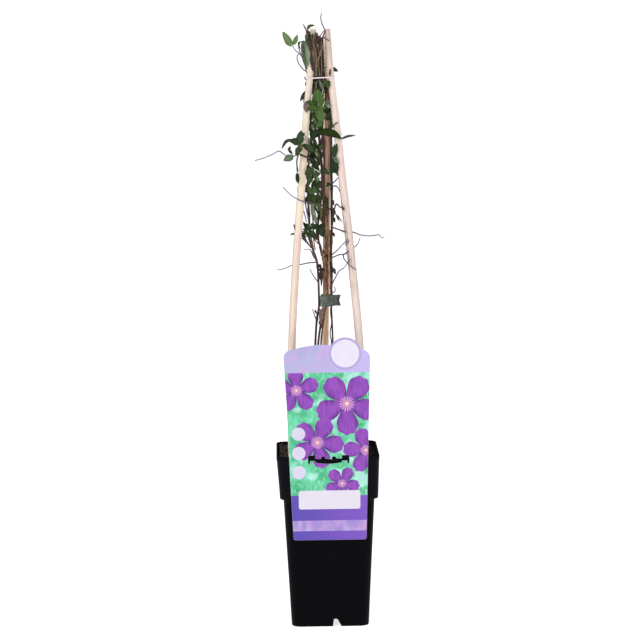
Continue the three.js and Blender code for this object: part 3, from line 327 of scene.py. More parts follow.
class Piece:
    """Points and faces in millimetres, with three numbers kept on each point and a finish for each face."""

    def __init__(self, name):
        self.name = name
        self.points, self.marks, self.sides, self.faces, self.finishes = [], [], [], [], []
        self.count = 0

    def add(self, points, faces, marks, side=0.0, finish=0):
        points = np.asarray(points, float)
        self.points.append(points)
        self.marks.append(np.broadcast_to(np.asarray(marks, float), points.shape))
        self.sides.append(np.broadcast_to(np.asarray(side, float), (len(points),)))
        self.faces += [[self.count + i for i in face] for face in faces]
        self.finishes += [finish] * len(faces)
        self.count += len(points)

    def make(self, materials, nodes=(), smooth=True):
        mesh = bpy.data.meshes.new(self.name)
        mesh.from_pydata((np.vstack(self.points) * MM).tolist(), [], self.faces)
        mark = mesh.attributes.new("mark", "FLOAT_VECTOR", "POINT")
        mark.data.foreach_set("vector", np.vstack(self.marks).ravel())
        side = mesh.attributes.new("side", "FLOAT", "POINT")
        side.data.foreach_set("value", np.concatenate(self.sides))
        mesh.polygons.foreach_set("use_smooth", [smooth] * len(mesh.polygons))
        mesh.polygons.foreach_set("material_index", self.finishes)
        for material in materials:
            mesh.materials.append(material)
        thing = bpy.data.objects.new(self.name, mesh)
        scene.collection.objects.link(thing)
        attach(thing, "root")
        if nodes:
            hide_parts(*nodes)
        return thing


print("an empty piece", vars(Piece("empty")))


# %% Written tables of points
def rows_of(text):
    """Rows of words, a colon and points between commas. An indented row carries on the row above it."""
    for row in text.strip().replace("\n ", "").split("\n"):
        words, _, lines = row.partition(":")
        for items in lines.split("/"):
            line = []
            for item in filter(None, items.split(",")):
                *first, z = map(float, item.split())
                depth = first[1] if len(first) > 1 else depth
                line.append((first[0], depth, z))
            yield words.split(), line


def table(text):
    """Lists of rows under headings.

    A slash starts another line of points of the same kind. A point of two numbers keeps the depth of the
    point before it.
    """
    lists = {}
    for words, line in rows_of(text):
        if line:
            rows.append((words, line))
        else:
            rows = lists[words[0]] = []
    return lists


print("a table of one row", table("heading\nword 1: 0 0 1, 2 3"))


# %% Faces between points in rows
def quads(rows, columns, around=True, again=False):
    """Faces between rows of points. Around closes each row, again joins the last row to the first."""
    corners = ((0, 0), (0, 1), (1, 1), (1, 0))
    return [
        tuple((r + up) % rows * columns + (c + on) % columns for up, on in corners)
        for r in range(rows - (not again)) for c in range(columns - (not around))
    ]


def slab(rows, columns):
    """Faces of a thin sheet: a grid of points, the same grid again behind it, and the rim between."""
    front, n = quads(rows, columns, around=False), rows * columns
    rim = [*range(columns), *range(2 * columns - 1, n, columns)]
    rim += [*range(n - 2, n - columns - 1, -1), *range(n - 2 * columns, 0, -columns)]
    faces = [tuple(reversed(q)) for q in front] + [tuple(n + i for i in q) for q in front]
    return faces + [(b, b + n, a + n, a) for a, b in zip(rim, rim[1:] + rim[:1])]


print("faces of three rows by four", len(quads(3, 4)), "and of a slab", len(slab(3, 4)))

# %% A tube
CUT_END, BULGE = 0.86, 0.08  # how wide a cut end is, as a share, and how far it stands out


def tube(piece, points, radii, sides, stations, swell=None, finish=0, cap=1):
    """A round tube along a line, its cut ends a little smaller. swell(along, round) changes its radius."""
    line = points if isinstance(points, Line) else Line(points)
    t = np.linspace(0, 1, stations + 1)
    middle, along = line.at(t), line.direction(t)
    walked = np.interp(t, np.linspace(0, 1, 201), line.walked)
    side = np.cross((0, 1, 0), along[0])
    side = np.array((1.0, 0, 0)) if np.linalg.norm(side) < 1e-6 else side
    turn = np.linspace(0, 2 * math.pi, sides, endpoint=False)
    rings, marks = [], []
    for k in range(stations + 1):
        side = unit(side - along[k] * side.dot(along[k]))
        rise = np.cross(along[k], side)
        radius = np.interp(t[k], np.linspace(0, 1, len(radii)), radii) * np.ones(sides)
        if swell:
            radius = radius + swell(walked[k], turn)
        spoke = np.cos(turn)[:, None] * side + np.sin(turn)[:, None] * rise
        rings.append(middle[k] + radius[:, None] * spoke)
        marks.append(np.stack([radius * np.cos(turn), radius * np.sin(turn), np.full(sides, walked[k])], 1))
    piece.add(np.vstack(rings), quads(stations + 1, sides), np.vstack(marks), 0.0, finish)
    for ring, mark, outward in ((rings[0], marks[0], -along[0]), (rings[-1], marks[-1], along[-1])):
        face = ring.mean(0) + (ring - ring.mean(0)) * CUT_END + outward * (cap * BULGE)
        marks_here = np.vstack([mark * (CUT_END, CUT_END, 1), mark])
        fan = [(sides + i, sides + (i + 1) % sides, (i + 1) % sides, i) for i in range(sides)]
        fan.append(tuple(range(sides)))
        fan = [tuple(reversed(f)) for f in fan] if ring is rings[0] else fan
        piece.add(np.vstack([face, ring]), fan, marks_here, 1.0, finish)


sample = Piece("sample")
tube(sample, [(0, 0, 0), (0, 0, 9)], [2], 6, 3)
print("points of a short tube", sample.count)

# %% [markdown]
# ## The pot
# The real pot is blown thin from black plastic: a foot with a notch in each side, a body that widens
# upwards, a small step, and a deep collar with a slightly thicker lip. It could be a box with its edges
# rounded, but the step and lip want their own rings, so it is a stack of rounded squares joined into a
# skin. Pairs of rings close together make the small rounded edges that catch the light.

# %% Rounded squares, a skin between them and a bar
def rounded_square(half, corner, z, per_corner=9, per_side=9):
    """Points of a square with round corners, anticlockwise from the middle of its right side."""
    centre = half - corner
    ring = []
    for quarter in range(4):
        start = math.pi / 2 * quarter
        out = np.array((math.cos(start), math.sin(start)))
        on = np.array((-out[1], out[0]))
        for k in range(per_side):
            ring.append(out * half + on * centre * (2 * (k + 0.5) / per_side - 1))
        for k in range(per_corner + 1):
            turn = start + math.pi / 2 * k / per_corner
            ring.append(np.array((math.cos(turn), math.sin(turn))) * corner + (out + on) * centre)
    return np.array([(x, y, z) for x, y in ring])


def skin(piece, rings, marks=None, close=False, finish=0):
    """Quads between rings of equal count."""
    count = len(rings[0])
    faces = quads(len(rings), count)
    if close:
        faces += [tuple(reversed(range(count))), tuple((len(rings) - 1) * count + i for i in range(count))]
    points = np.vstack(rings)
    piece.add(points, faces, points if marks is None else marks, 0.0, finish)


def bar(piece, low, high, finish=0):
    """A straight bar between two corners."""
    square = [(low[0], low[1]), (high[0], low[1]), (high[0], high[1]), (low[0], high[1])]
    skin(piece, [np.array([(*p, z) for p in square]) for z in (low[2], high[2])], close=True, finish=finish)


print("points in a ring", len(rounded_square(55, 10, 0)))

# %% Black moulded plastic
STEP = 140.6  # the height of the small step below the collar
look = Look("black moulded plastic")
place = look.place()
fine, wide = look.noise(place, 0.5, 2), look.noise(place, 30, 3)
drag = look.noise(look.stretched(place, (1, 1, 0.08)), 1.6, 4)
dust = look.noise(place, 9, 6, 0.7).ease(0.6, 0.86)
# Painted sheen: the collar above the step is made lighter than the body, as it catches more light.
collar = look.parts(place)[2].ease(STEP, STEP + 2.4)
colour = look.coats(
    (1, 1, 4), (wide, (3, 3, 8)), (collar * 0.6, (12, 12, 20)), (dust * 0.12, (84, 76, 70)))
rough = wide * 0.16 + drag * 0.12 + 0.38
black_plastic = look.finish(colour, rough, fine * 0.4 + drag * 0.6, depth=0.07, Specular_IOR_Level=0.05)
print("made", black_plastic.name)

# %% Sizes of the pot
POT_HIGH, COLLAR_Z, WALL, CORNER = 189.7, 142, 1.2, 10
FOOT, BODY_TOP, COLLAR_LOW, RIM = 42.1, 49.4, 53.3, 55
FLOOR_LOW, FLOOR_TOP = 9.4, 10.8
BULGE_LOW, BULGE_RISE, BULGE_OUT = 150, 40, 1.5  # the soft collar stands out a little on its left side


def body_half(z):
    return FOOT + (BODY_TOP - FOOT) * z / STEP


def collar_half(z):
    return COLLAR_LOW + (RIM - COLLAR_LOW) * (z - COLLAR_Z) / (POT_HIGH - COLLAR_Z)


print("half the width at the foot, step and rim", body_half(0), body_half(STEP), collar_half(POT_HIGH))

# %% The pot's skin
outside = [(FOOT - 0.9, 0), (FOOT - 0.3, 0.25), (body_half(1.4), 1.4), (body_half(4), 4)]
outside += [(body_half(z), z) for z in (20, 40, 60, 80, 100, 120, 136)]
outside += [(BODY_TOP, STEP - 0.8), (BODY_TOP + 0.3, STEP)]
outside += [(COLLAR_LOW - 0.9, COLLAR_Z - 0.3), (COLLAR_LOW - 0.2, COLLAR_Z + 0.2)]
outside += [(collar_half(z), z) for z in (143.5, 147, 156, 166, 176, 184.4)]
outside += [(collar_half(185) + 0.3, 185), (RIM, 186), (RIM, POT_HIGH - 0.7), (RIM - 0.4, POT_HIGH - 0.1)]
inside = [(RIM - WALL + 0.3, POT_HIGH - 0.1), (RIM - WALL, POT_HIGH - 0.7), (collar_half(170) - WALL, 170)]
inside += [(COLLAR_LOW - WALL, COLLAR_Z + 2), (BODY_TOP - WALL, STEP - 1.2), (body_half(80) - WALL, 80)]
inside += [(body_half(FLOOR_TOP) - WALL, FLOOR_TOP)]
under = [(body_half(FLOOR_LOW) - WALL, FLOOR_LOW), (FOOT - WALL, 0.1)]

pot = Piece("pot_shell")
rings = [rounded_square(half, CORNER - WALL, z) for half, z in under]
rings += [rounded_square(half, CORNER, z) for half, z in outside]
rings += [rounded_square(half, CORNER - WALL, z) for half, z in inside]
for ring in rings:
    rise = np.clip((ring[:, 2] - BULGE_LOW) / BULGE_RISE, 0, 1)
    ring[:, 0] -= BULGE_OUT * rise * np.clip(-ring[:, 0] / 50, 0, 1) ** 3
skin(pot, rings, close=True)
pot_shell = pot.make([black_plastic], ["pot"])
print("pot rings", len(rings))

# %% [markdown]
# ## Notches, drain holes and ribs
# Water leaves through holes in the floor and through the notches of the foot. Faces could be left out of
# the skin by hand, but the holes would then have to follow its rings. Here a solid with each hole's outline
# is taken away from the pot, which leaves clean edges anywhere. Two crossed ribs and a round pad, as most
# moulded pots have them, stiffen the floor from below.


# %% Cutting the notches and the drain holes
def cut(thing, outline, depths, matrix):
    """Cuts a straight-sided hole through a piece, between two depths."""
    mesh = bpy.data.meshes.new("cutter")
    points = [(x, y, depth) for depth in reversed(depths) for x, y in outline]
    n = len(outline)
    faces = [tuple(range(n)), tuple(reversed(range(n, 2 * n)))]
    faces += [(i, i + n, (i + 1) % n + n, (i + 1) % n) for i in range(n)]
    mesh.from_pydata([tuple(matrix @ Vector(p) * MM) for p in points], [], faces)
    cutter = bpy.data.objects.new("cutter", mesh)
    scene.collection.objects.link(cutter)
    step = thing.modifiers.new("cut", "BOOLEAN")
    step.operation, step.object, step.solver = "DIFFERENCE", cutter, "EXACT"
    return cutter


NOTCH = [(2.5, -1), (12.2, -1), (11.3, 1.4), (9.6, 4.6), (8.2, 7.6), (6.8, 8.6), (4.6, 8.6), (3.6, 7.6),
         (2.8, 1.4)]
NOTCH_DEPTHS, HOLE_AT, HOLE_RADIUS, HOLE_SIDES = (36, 46), 22, 4, 24
upright = Matrix.Rotation(math.pi / 2, 4, "X")
cutters = []
for quarter in range(4):
    spin = Matrix.Rotation(math.pi / 2 * quarter, 4, "Z")
    cutters.append(cut(pot_shell, NOTCH, NOTCH_DEPTHS, spin @ upright))
turns = [k * math.pi / (HOLE_SIDES / 2) for k in range(HOLE_SIDES)]
hole = [(HOLE_RADIUS * math.cos(turn), HOLE_RADIUS * math.sin(turn)) for turn in turns]
for x in (-HOLE_AT, HOLE_AT):
    for y in (-HOLE_AT, HOLE_AT):
        cutters.append(cut(pot_shell, hole, (FLOOR_LOW - 1, FLOOR_TOP + 1), Matrix.Translation((x, y, 0))))
bpy.context.view_layer.update()
shaped = bpy.data.meshes.new_from_object(pot_shell.evaluated_get(bpy.context.evaluated_depsgraph_get()))
pot_shell.modifiers.clear()
pot_shell.data = shaped
for cutter in cutters:
    bpy.data.objects.remove(cutter)
print("pot faces", len(shaped.polygons))

# %% Ribs under the floor
RIB_HALF, RIB_LOW, RIB_TOP, PAD_LOW, PAD_RADIUS = 0.8, 1, FLOOR_LOW + 0.2, 0.1, 6
ribs = Piece("pot_ribs")
reach = body_half(RIB_LOW) - WALL
for half in ((reach, RIB_HALF), (RIB_HALF, reach)):
    bar(ribs, (-half[0], -half[1], RIB_LOW), (*half, RIB_TOP))
tube(ribs, [(0, 0, PAD_LOW), (0, 0, RIB_TOP)], [PAD_RADIUS], 28, 4)
ribs.make([black_plastic], smooth=False)
print("rib points", ribs.count)

# %% [markdown]
# ## The compost
# Peat with bark, heaped a little towards the left and the back. A flat disc would read as paint, so the
# top is a fine grid pushed up and down by noise at three sizes, and loose crumbs, bark chips and fibres
# lie on it. Each crumb is a small ball whose points are moved at random, half sunk in.

# %% Compost finish
look = Look("peat and bark")
place = look.place()
grain, clods = look.noise(place, 1.1, 6, 0.7), look.noise(place, 7, 4)
colour = look.coats(
    (24, 17, 15), (clods.ease(0.3, 0.7), (68, 48, 39)), (grain.ease(0.56, 0.72) * 0.8, (142, 108, 84)),
    (look.parts(place)[0].ease(30, 46) * 0.65, (16, 15, 13)))
peat = look.finish(colour, clods * 0.1 + 0.86, grain * 0.7 + clods * 0.3, depth=0.9, strength=0.9)
print("made", peat.name)


# %% The heap
HEAP_LEVEL, FALL_RIGHT, RISE_BACK = 182.6, 0.045, 0.03
# Lumps of three sizes: how often per millimetre, a layer of the noise, and how high.
LUMPS = ((0.05, 3.1, 1.6), (0.16, 8.0, 1.1), (0.5, 1.0, 0.5))


def heap_height(x, y):
    """The level of the compost, in millimetres."""
    lumps = sum(high * noise.noise(Vector((x * often, y * often, layer))) for often, layer, high in LUMPS)
    return HEAP_LEVEL - FALL_RIGHT * x + RISE_BACK * y + lumps


heap = Piece("compost_heap")
edge = rounded_square(collar_half(182) - WALL - 0.3, CORNER - WALL, 182, 8, 18)
rings = []
for share in np.linspace(1, 0.02, 34):
    ring = edge * (share, share, 1)
    ring[:, 2] = [heap_height(x, y) for x, y, _ in ring]
    rings.append(ring)
skirt = [edge * (0.997, 0.997, 1) - (0, 0, 12), edge * (1, 1, 1) - (0, 0, 5)]
low_rings = [rounded_square(body_half(11.5) - WALL - 0.3, CORNER - WALL, 11.3, 8, 18)]
low_rings += [rounded_square(BODY_TOP - WALL - 0.3, CORNER - WALL, STEP - 1, 8, 18)]
skin(heap, low_rings + skirt + rings, close=True)
heap.make([peat], ["compost"])
print("heap points", heap.count)


# %% Repeatable numbers and a small ball
def seeded(seed):
    """Repeatable numbers from 0 to 1, the same sequence as the solid model's."""
    state = seed

    def draw():
        nonlocal state
        state = (state * 1664525 + 1013904223) % 2**32
        return state / 2**32
    return draw


def ball(rings=4, around=7):
    """A small ball as points and faces."""
    points = [(0, 0, 1)]
    for r in range(1, rings):
        tilt = math.pi * r / rings
        for a in range(around):
            turn = 2 * math.pi * (a + 0.5 * (r % 2)) / around
            points.append((math.sin(tilt) * math.cos(turn), math.sin(tilt) * math.sin(turn), math.cos(tilt)))
    points.append((0, 0, -1))
    faces = [(0, 1 + a, 1 + (a + 1) % around) for a in range(around)]
    for r in range(rings - 2):
        b = 1 + r * around
        for a in range(around):
            n = (a + 1) % around
            faces += [(b + a, b + around + a, b + around + n), (b + a, b + around + n, b + n)]
    last = 1 + (rings - 2) * around
    faces += [(last + a, len(points) - 1, last + (a + 1) % around) for a in range(around)]
    return np.array(points), faces


print("points of a ball", len(ball()[0]))

# %% Crumbs, chips and fibres
CRUMBS, LONG_FROM = 1100, 0.86  # draws above the second number become chips and fibres
crumbs = Piece("compost_crumbs")
draw = seeded(5)
ball_points, ball_faces = ball()
room = collar_half(182) - WALL - 2.2
for _ in range(CRUMBS):
    x, y = room * (2 * draw() - 1), room * (2 * draw() - 1)
    size = 0.5 + 1.9 * draw() ** 3
    long = draw() > LONG_FROM
    wide = 3.2 if long else 1 + 0.5 * draw()
    shape = (size * wide, size * (0.5 if long else 1), size * (0.4 if long else 0.8))
    spin = Matrix.Rotation(6.3 * draw(), 3, "Z") @ Matrix.Rotation(0.7 * (draw() - 0.5), 3, "Y")
    lumps = np.array([draw() for _ in ball_points])[:, None] - 0.5
    rough_ball = ball_points * (1 + 0.5 * lumps) * shape
    placed = rough_ball @ np.array(spin).T + (x, y, heap_height(x, y) + 0.25 * size)
    limit = room + 2
    placed[:, :2] = np.clip(placed[:, :2], -limit, limit)
    crumbs.add(placed, ball_faces, placed)
crumbs.make([peat], smooth=False)
print("crumbs", CRUMBS, "points", crumbs.count)

# %% [markdown]
# ## The canes
# Three round stakes of pale softwood, turned and peeled, a little thinner at the top, with a knot here and
# there. The back one is older and yellower. Each is a tube with a slight unevenness, and its grain is noise
# that is drawn out thirty times along the wood, read from how far round and along each point lies.


# %% Peeled wood
def peeled_wood(name, pale, warm, line, stain, blush, levels, left_shade_share=0.0):
    """Levels are (from, to, share, colour): the wood turns to that colour between those heights."""
    look = Look(name)
    mark = look.marks()
    grain = look.noise(look.stretched(mark, (1, 1, 0.03)), 0.55, 5, 0.65)
    band = look.noise(look.stretched(mark, (0.5, 0.5, 0.012)), 1.3, 3)
    blotch = look.noise(look.place((1, 1, 0.3)), 9, 4)
    speck = look.noise(look.stretched(mark, (1, 1, 0.22)), 0.8, 3, 0.6)
    stripe = look.noise(look.stretched(mark, (0.7, 0.7, 0.004)), 1.9, 2)
    high, across = look.parts(look.place())[2], look.parts(mark)[0]
    # Painted shade down the cane's left side, between about 350 and 520 mm up, broken up by the grain; the
    # last argument sets how strong it is.
    left_side_shade = high.ease(350, 400) * high.ease(520, 440) * left_shade_share
    colour = look.coats(
        pale, (band.ease(0.35, 0.65), warm), (stripe.ease(0.5, 0.66) * 0.55, blush),
        (grain.ease(0.55, 0.78) * 0.6, line), (blotch.ease(0.52, 0.72) * 0.5, stain),
        (speck.ease(0.7, 0.8) * 0.5, (120, 84, 58)),
        *[(high.ease(start, end) * share, level) for start, end, share, level in levels],
        (left_side_shade * across.ease(2.4, -2.6) * grain.ease(0.4, 0.56), (150, 132, 126)),
        # Painted shade: both side edges of the stake are darkened towards the grain-line colour.
        (abs(across).ease(2.9, 4.1) * 0.45, line), (look.side() * 0.35, warm))
    return look.finish(colour, grain * 0.2 + 0.52, grain * 0.8 + band * 0.2, depth=0.12, strength=0.7)


pale_wood = peeled_wood(
    "pale peeled wood", (234, 220, 198), (220, 194, 184), (184, 146, 128), (208, 172, 160),
    (226, 188, 190), [(415, 450, 0.5, (242, 228, 200)), (500, 600, 0.6, (224, 209, 196)),
     (150, 60, 0.3, (206, 186, 176))])
rosy_wood = peeled_wood(
    "rosy peeled wood", (240, 224, 210), (224, 203, 190), (160, 124, 114), (190, 158, 152),
    (226, 198, 202),
    [(470, 400, 0.2, (190, 174, 168)), (590, 630, 0.5, (172, 146, 126))], 1.0)
# Its last level, almost white above about 555 mm, is partly the paler top of the real cane and partly painted
# light against the shade that the other canes and the stems cast there.
aged_wood = peeled_wood(
    "aged peeled wood", (244, 212, 174), (214, 178, 140), (122, 82, 56), (156, 110, 78),
    (188, 142, 104),
    [(440, 470, 0.2, (150, 112, 84)), (500, 516, 0.7, (222, 180, 150)),
     (555, 590, 1, (255, 240, 214))], 0.35)
print("woods", [wood.name for wood in (pale_wood, rosy_wood, aged_wood)])

# %% Routes of the canes
CANE_ROUTES = {words[0]: line for words, line in rows_of("""
cane_left: -36 -31 46, -38.2 -32.6 120, -39.4 -33.4 185, -38.2 -28 302.7, -29.4 -20 431, -24.4 -16 485,
  -19.2 -10.8 550, -14.3 -7.2 597, -10.1 -4 647
cane_right: 35 -31 46, 37.4 -32.6 120, 38.4 -33.4 185, 35.3 -28 306, 27.4 -21.1 402, 19 -15.2 485,
  13.8 -11.1 541, 8.1 -7 597, 4.8 -4 647
cane_back: -3.4 34 46, -3 36.5 120, -2 38 185, -0.3 30 314, 1.9 23.5 400, 2.9 18 470, 4.2 12 543, 4.5 8 605,
  4.5 5.5 640
""")}
CANE_THICK = {
    "cane_left": (4.2, 4.2, 4.15, 3.85, 3.2),
    "cane_right": (4.4, 4.4, 4.35, 4, 3.2),
    "cane_back": (3.75, 3.7, 3.6, 3.5, 3.2),
}


print("widest canes", {name: 2 * max(thick) for name, thick in CANE_THICK.items()})

# %% Three canes
KNOTS, KNOT_HIGH, KNOT_LONG, UNEVEN = 5, 0.28, 3.2, 0.16


def cane(node, wood, seed):
    """A stake with a slight unevenness and a few knots."""
    piece = Piece(node + "_wood")
    draw = seeded(seed)
    knots = [(60 + 520 * draw(), 6.3 * draw()) for _ in range(KNOTS)]

    def swell(along, turn):
        spots = [(math.cos(a) * 0.6, math.sin(a) * 0.6, along * 0.012 + seed) for a in turn]
        uneven = [noise.noise(Vector(spot)) for spot in spots]
        bump = sum(
            KNOT_HIGH * math.exp(-(((along - z) / KNOT_LONG) ** 2)) * np.exp(-((1 - np.cos(turn - a)) * 5))
            for z, a in knots)
        return UNEVEN * np.array(uneven) + bump
    tube(piece, CANE_ROUTES[node], CANE_THICK[node], 26, 150, swell)
    return piece.make([wood], [node])


cane("cane_left", pale_wood, 3)
cane("cane_right", rosy_wood, 8)
cane("cane_back", aged_wood, 21)
CANE_LINES = {name: Line(route) for name, route in CANE_ROUTES.items()}
print("canes reach", [round(float(line.at(1)[0][2])) for line in CANE_LINES.values()])

# %% [markdown]
# ## Stems, strands and tendrils
# Four wiry stems climb between the canes. Young clematis wood is dark reddish purple, ridged along its
# length, and thickens at each joint, where a pair of leaf stalks leaves it. The leaf stalks twist round
# what they touch, which is how the plant climbs. The twigs start inside their stem, so that the joint
# reads as one growth. Routes are the solid model's, with more sides, ridges and swollen joints.

# %% Routes of the stems
STEM_ROUTES = {words[0]: line for words, line in rows_of("""
stem_left: -14 6 150, -13.6 7.5 200, -12.8 11 260, -12 14 303, -9.8 15.6 331, -7.4 16 345, -7.3 357,
  -8 14 383, -9.1 11 395, -14.2 6 411, -17.8 2 423, -17 0 439, -17.7 460, -18.4 2 474, -17.8 4 490,
  -16.4 5 506, -12.9 4 528, -11 3 549, -10.8 1 571, -9.2 -3.8 595, -9.2 -8.4 605, -10.4 -11.2 614,
  -11.6 -12 627, -12.2 638
stem_middle: -9 10 150, -9.2 11 200, -9.4 12 260, -8.8 14 303, -5.8 15 325, -2.6 15.4 345, -1.6 368,
  -1.9 13.5 394, -3.9 12 407, -8.4 9 423, -8 7 438, -5.1 454, -2.9 8 473, -2.5 493, -3.6 7 506, -4.8 5 522,
  -5.7 3 544, -6.5 1 566, -6.2 -1 595, -6.5 -5.5 606, -6.5 -7.6 614, -7.2 -9 627, -6.2 -8.8 643
stem_slim: -4 14 150, -4.4 15 200, -5 17 260, -5.6 19 303, -4.2 20 317, -0.8 19 338, 1.4 18.4 352,
  2.4 18 368, 1.1 16 394, 0.5 13 418, 0.5 12 438, 0.1 11 462, -0.4 10.4 478, 0.3 9.4 500, 0.1 8 522,
  -1 6 544, -2.1 4 565, -2.6 2 595, -2.7 -1 606, -2.7 -3 614, -3.6 -5 630, -4.3 -6 638
stem_right: 6 12 150, 6.4 13 200, 7 16 260, 7.4 18 302, 7 19 324, 6.3 20 345, 6.8 362, 7.4 18 385,
  6.8 17 401, 7.7 15 427, 7.8 14 445, 8 12 479, 7.8 11 500, 8 9 522, 7.8 7 544, 7 4.6 565, 3.8 2.4 582,
  1.2 -0.6 595, 0.2 -3 608, -0.4 -4.6 627, -0.6 -5 638
""")}
STEM_THICK = {
    "stem_left": (1.3, 1.2, 1.1, 1, 0.85),
    "stem_middle": (1.25, 1.05),
    "stem_slim": (1, 0.8),
    "stem_right": (1.05, 1, 1.15, 1.5, 1.2, 0.8),
}
print("stem routes", {name: len(route) for name, route in STEM_ROUTES.items()})

# %% Twigs that the solid model has
TWIGS = table("""
stem_left
strand 571: -11.6 0.2 583, -10.3 -0.8 595, -8.8 -1.2 606, -8.2 -2.4 617, -7.2 -3.2 634
strand 591: -9.3 -5 598, -9.8 -9.9 605, -12 -11.4 614, -13.5 -12 625, -14 -12.2 634
strand 606: -9.6 -10.8 612, -10 -12.5 621, -11.2 -12.9 631, -10.8 -12.7 640
tendril 508: -17 -6 508, -17.5 -16 509, -21 -21.5 511, -28 -22 514, -34 511, -41 512, -49 517, -55 -21 514,
  -65 -20 510, -75 -18 507
petiole -28 -22 514: -30 -23 505, -28.7 -22.4 495
tendril 459: -19 -14 460, -22 -23 462, -27 -24 464, -36 -23 469, -45 -20 478
tendril 439: -19.3 -2 449, -21.3 -2.6 460, -21.9 468
tendril 409: -21 0 417, -27 -4 423
tendril 396: -13 4 401, -17 0 409, -23 -2 409
tendril 394: -18 4 394, -29 -8 393, -36 -12 393, -46 389, -53 388
tendril 371: -13 10 379, -17 6 387
tendril 329: -13 12 337, -15 10 343
stem_middle
strand 566: -5.2 2.8 583, -5 3.3 595, -5.2 1.6 606, -5.2 -1 618, -4.8 -2 632
strand 607: -7.7 -8.8 613, -8.5 -10.8 622, -9.3 -11.4 632, -8.2 -11 641
strand 596: -4.8 -3.8 603, -4.3 -7 612, -3.4 -9 622, -3.5 -9.2 637
strand 614: -5.6 -9 621, -5.2 -10 630, -5.4 -9.6 640
stem_slim
strand 565: -1.6 5 583, -1.6 4.6 595, -1.2 3 606, -0.9 1.6 618, -0.5 0.6 632
climber 420: -1.4 13.6 430, -2.7 14 438, -1.8 14.4 450, -1.6 14 468, -2.1 13.6 484, -3 13.4 495,
  -2.6 13 505, -1 12.4 517, -1.4 11 527, -2.4 9.4 538, -3 7.6 552
stem_right
strand 575: 3.6 -0.6 586, 2 -3.4 595, 0.4 -5 606, -0.6 -6 618, -1.4 -7.4 631
tendril 627: 0 -5 637, 1.9 -8.4 646, -0.9 -7.5 653, -2 -6.5 660, -1 -6 664
tendril 0 -5 637: 2.2 -8.9 637.5, 4.6 -9.4 635.5, 7 -8.9 634.5
petiole 540: 8.6 0 541, 8.6 -14 542, 11.5 -16.5 545, 15 -16 547
tendril 479: 13 6 484, 17 2 489
tendril 477: 13 8 477, 15 4 475, 17 2 470
petiole 444: 10 8 450, 12.2 0 457.6, 14 -8 457.6, 15.2 -15.8 456.4, 17 -22.6 455.4, 19.4 -24 454.4
strand 453: 5.4 7.4 452.6, 1.1 6 451, -2 5.4 447.2, -3.6 5 441
tendril 432: 15 4 430, 20 -6 429, 27 -9 428.5, 33 -12 427, 37 -14 425.3, 46 -15 424, 53 -14 424.2, 58 424.9,
  60 422.6, 64 421.6
tendril 15 4 430: 18 -14 429.5, 20.5 -22.5 429, 22.5 -24 429
tendril 401: 13.3 -2 408.1, 18 -16 414.5, 22.4 -25.4 419.8, 24.1 -26 421.8
tendril 398: 15 8 402, 19 -12 404, 22 -23 406.8, 25 -26 408.6
tendril 15 8 402: 24 -6 405, 31 -8 411, 35 -9 415, 38 422
tendril 19 -12 404: 20 -22 399.5, 24 -27 395, 27 -27.8 392, 33 -26.8 388
tendril 368: 10 12 375, 15 4 384.6, 19 -8 388.4, 21.4 -19 392, 24.4 -26.8 398, 26.5 -27.2 400
tendril 360: 10 18 360.5, 10.8 17.6 363.5, 9.4 17.4 366
""")
print("twigs", sum(map(len, TWIGS.values())))

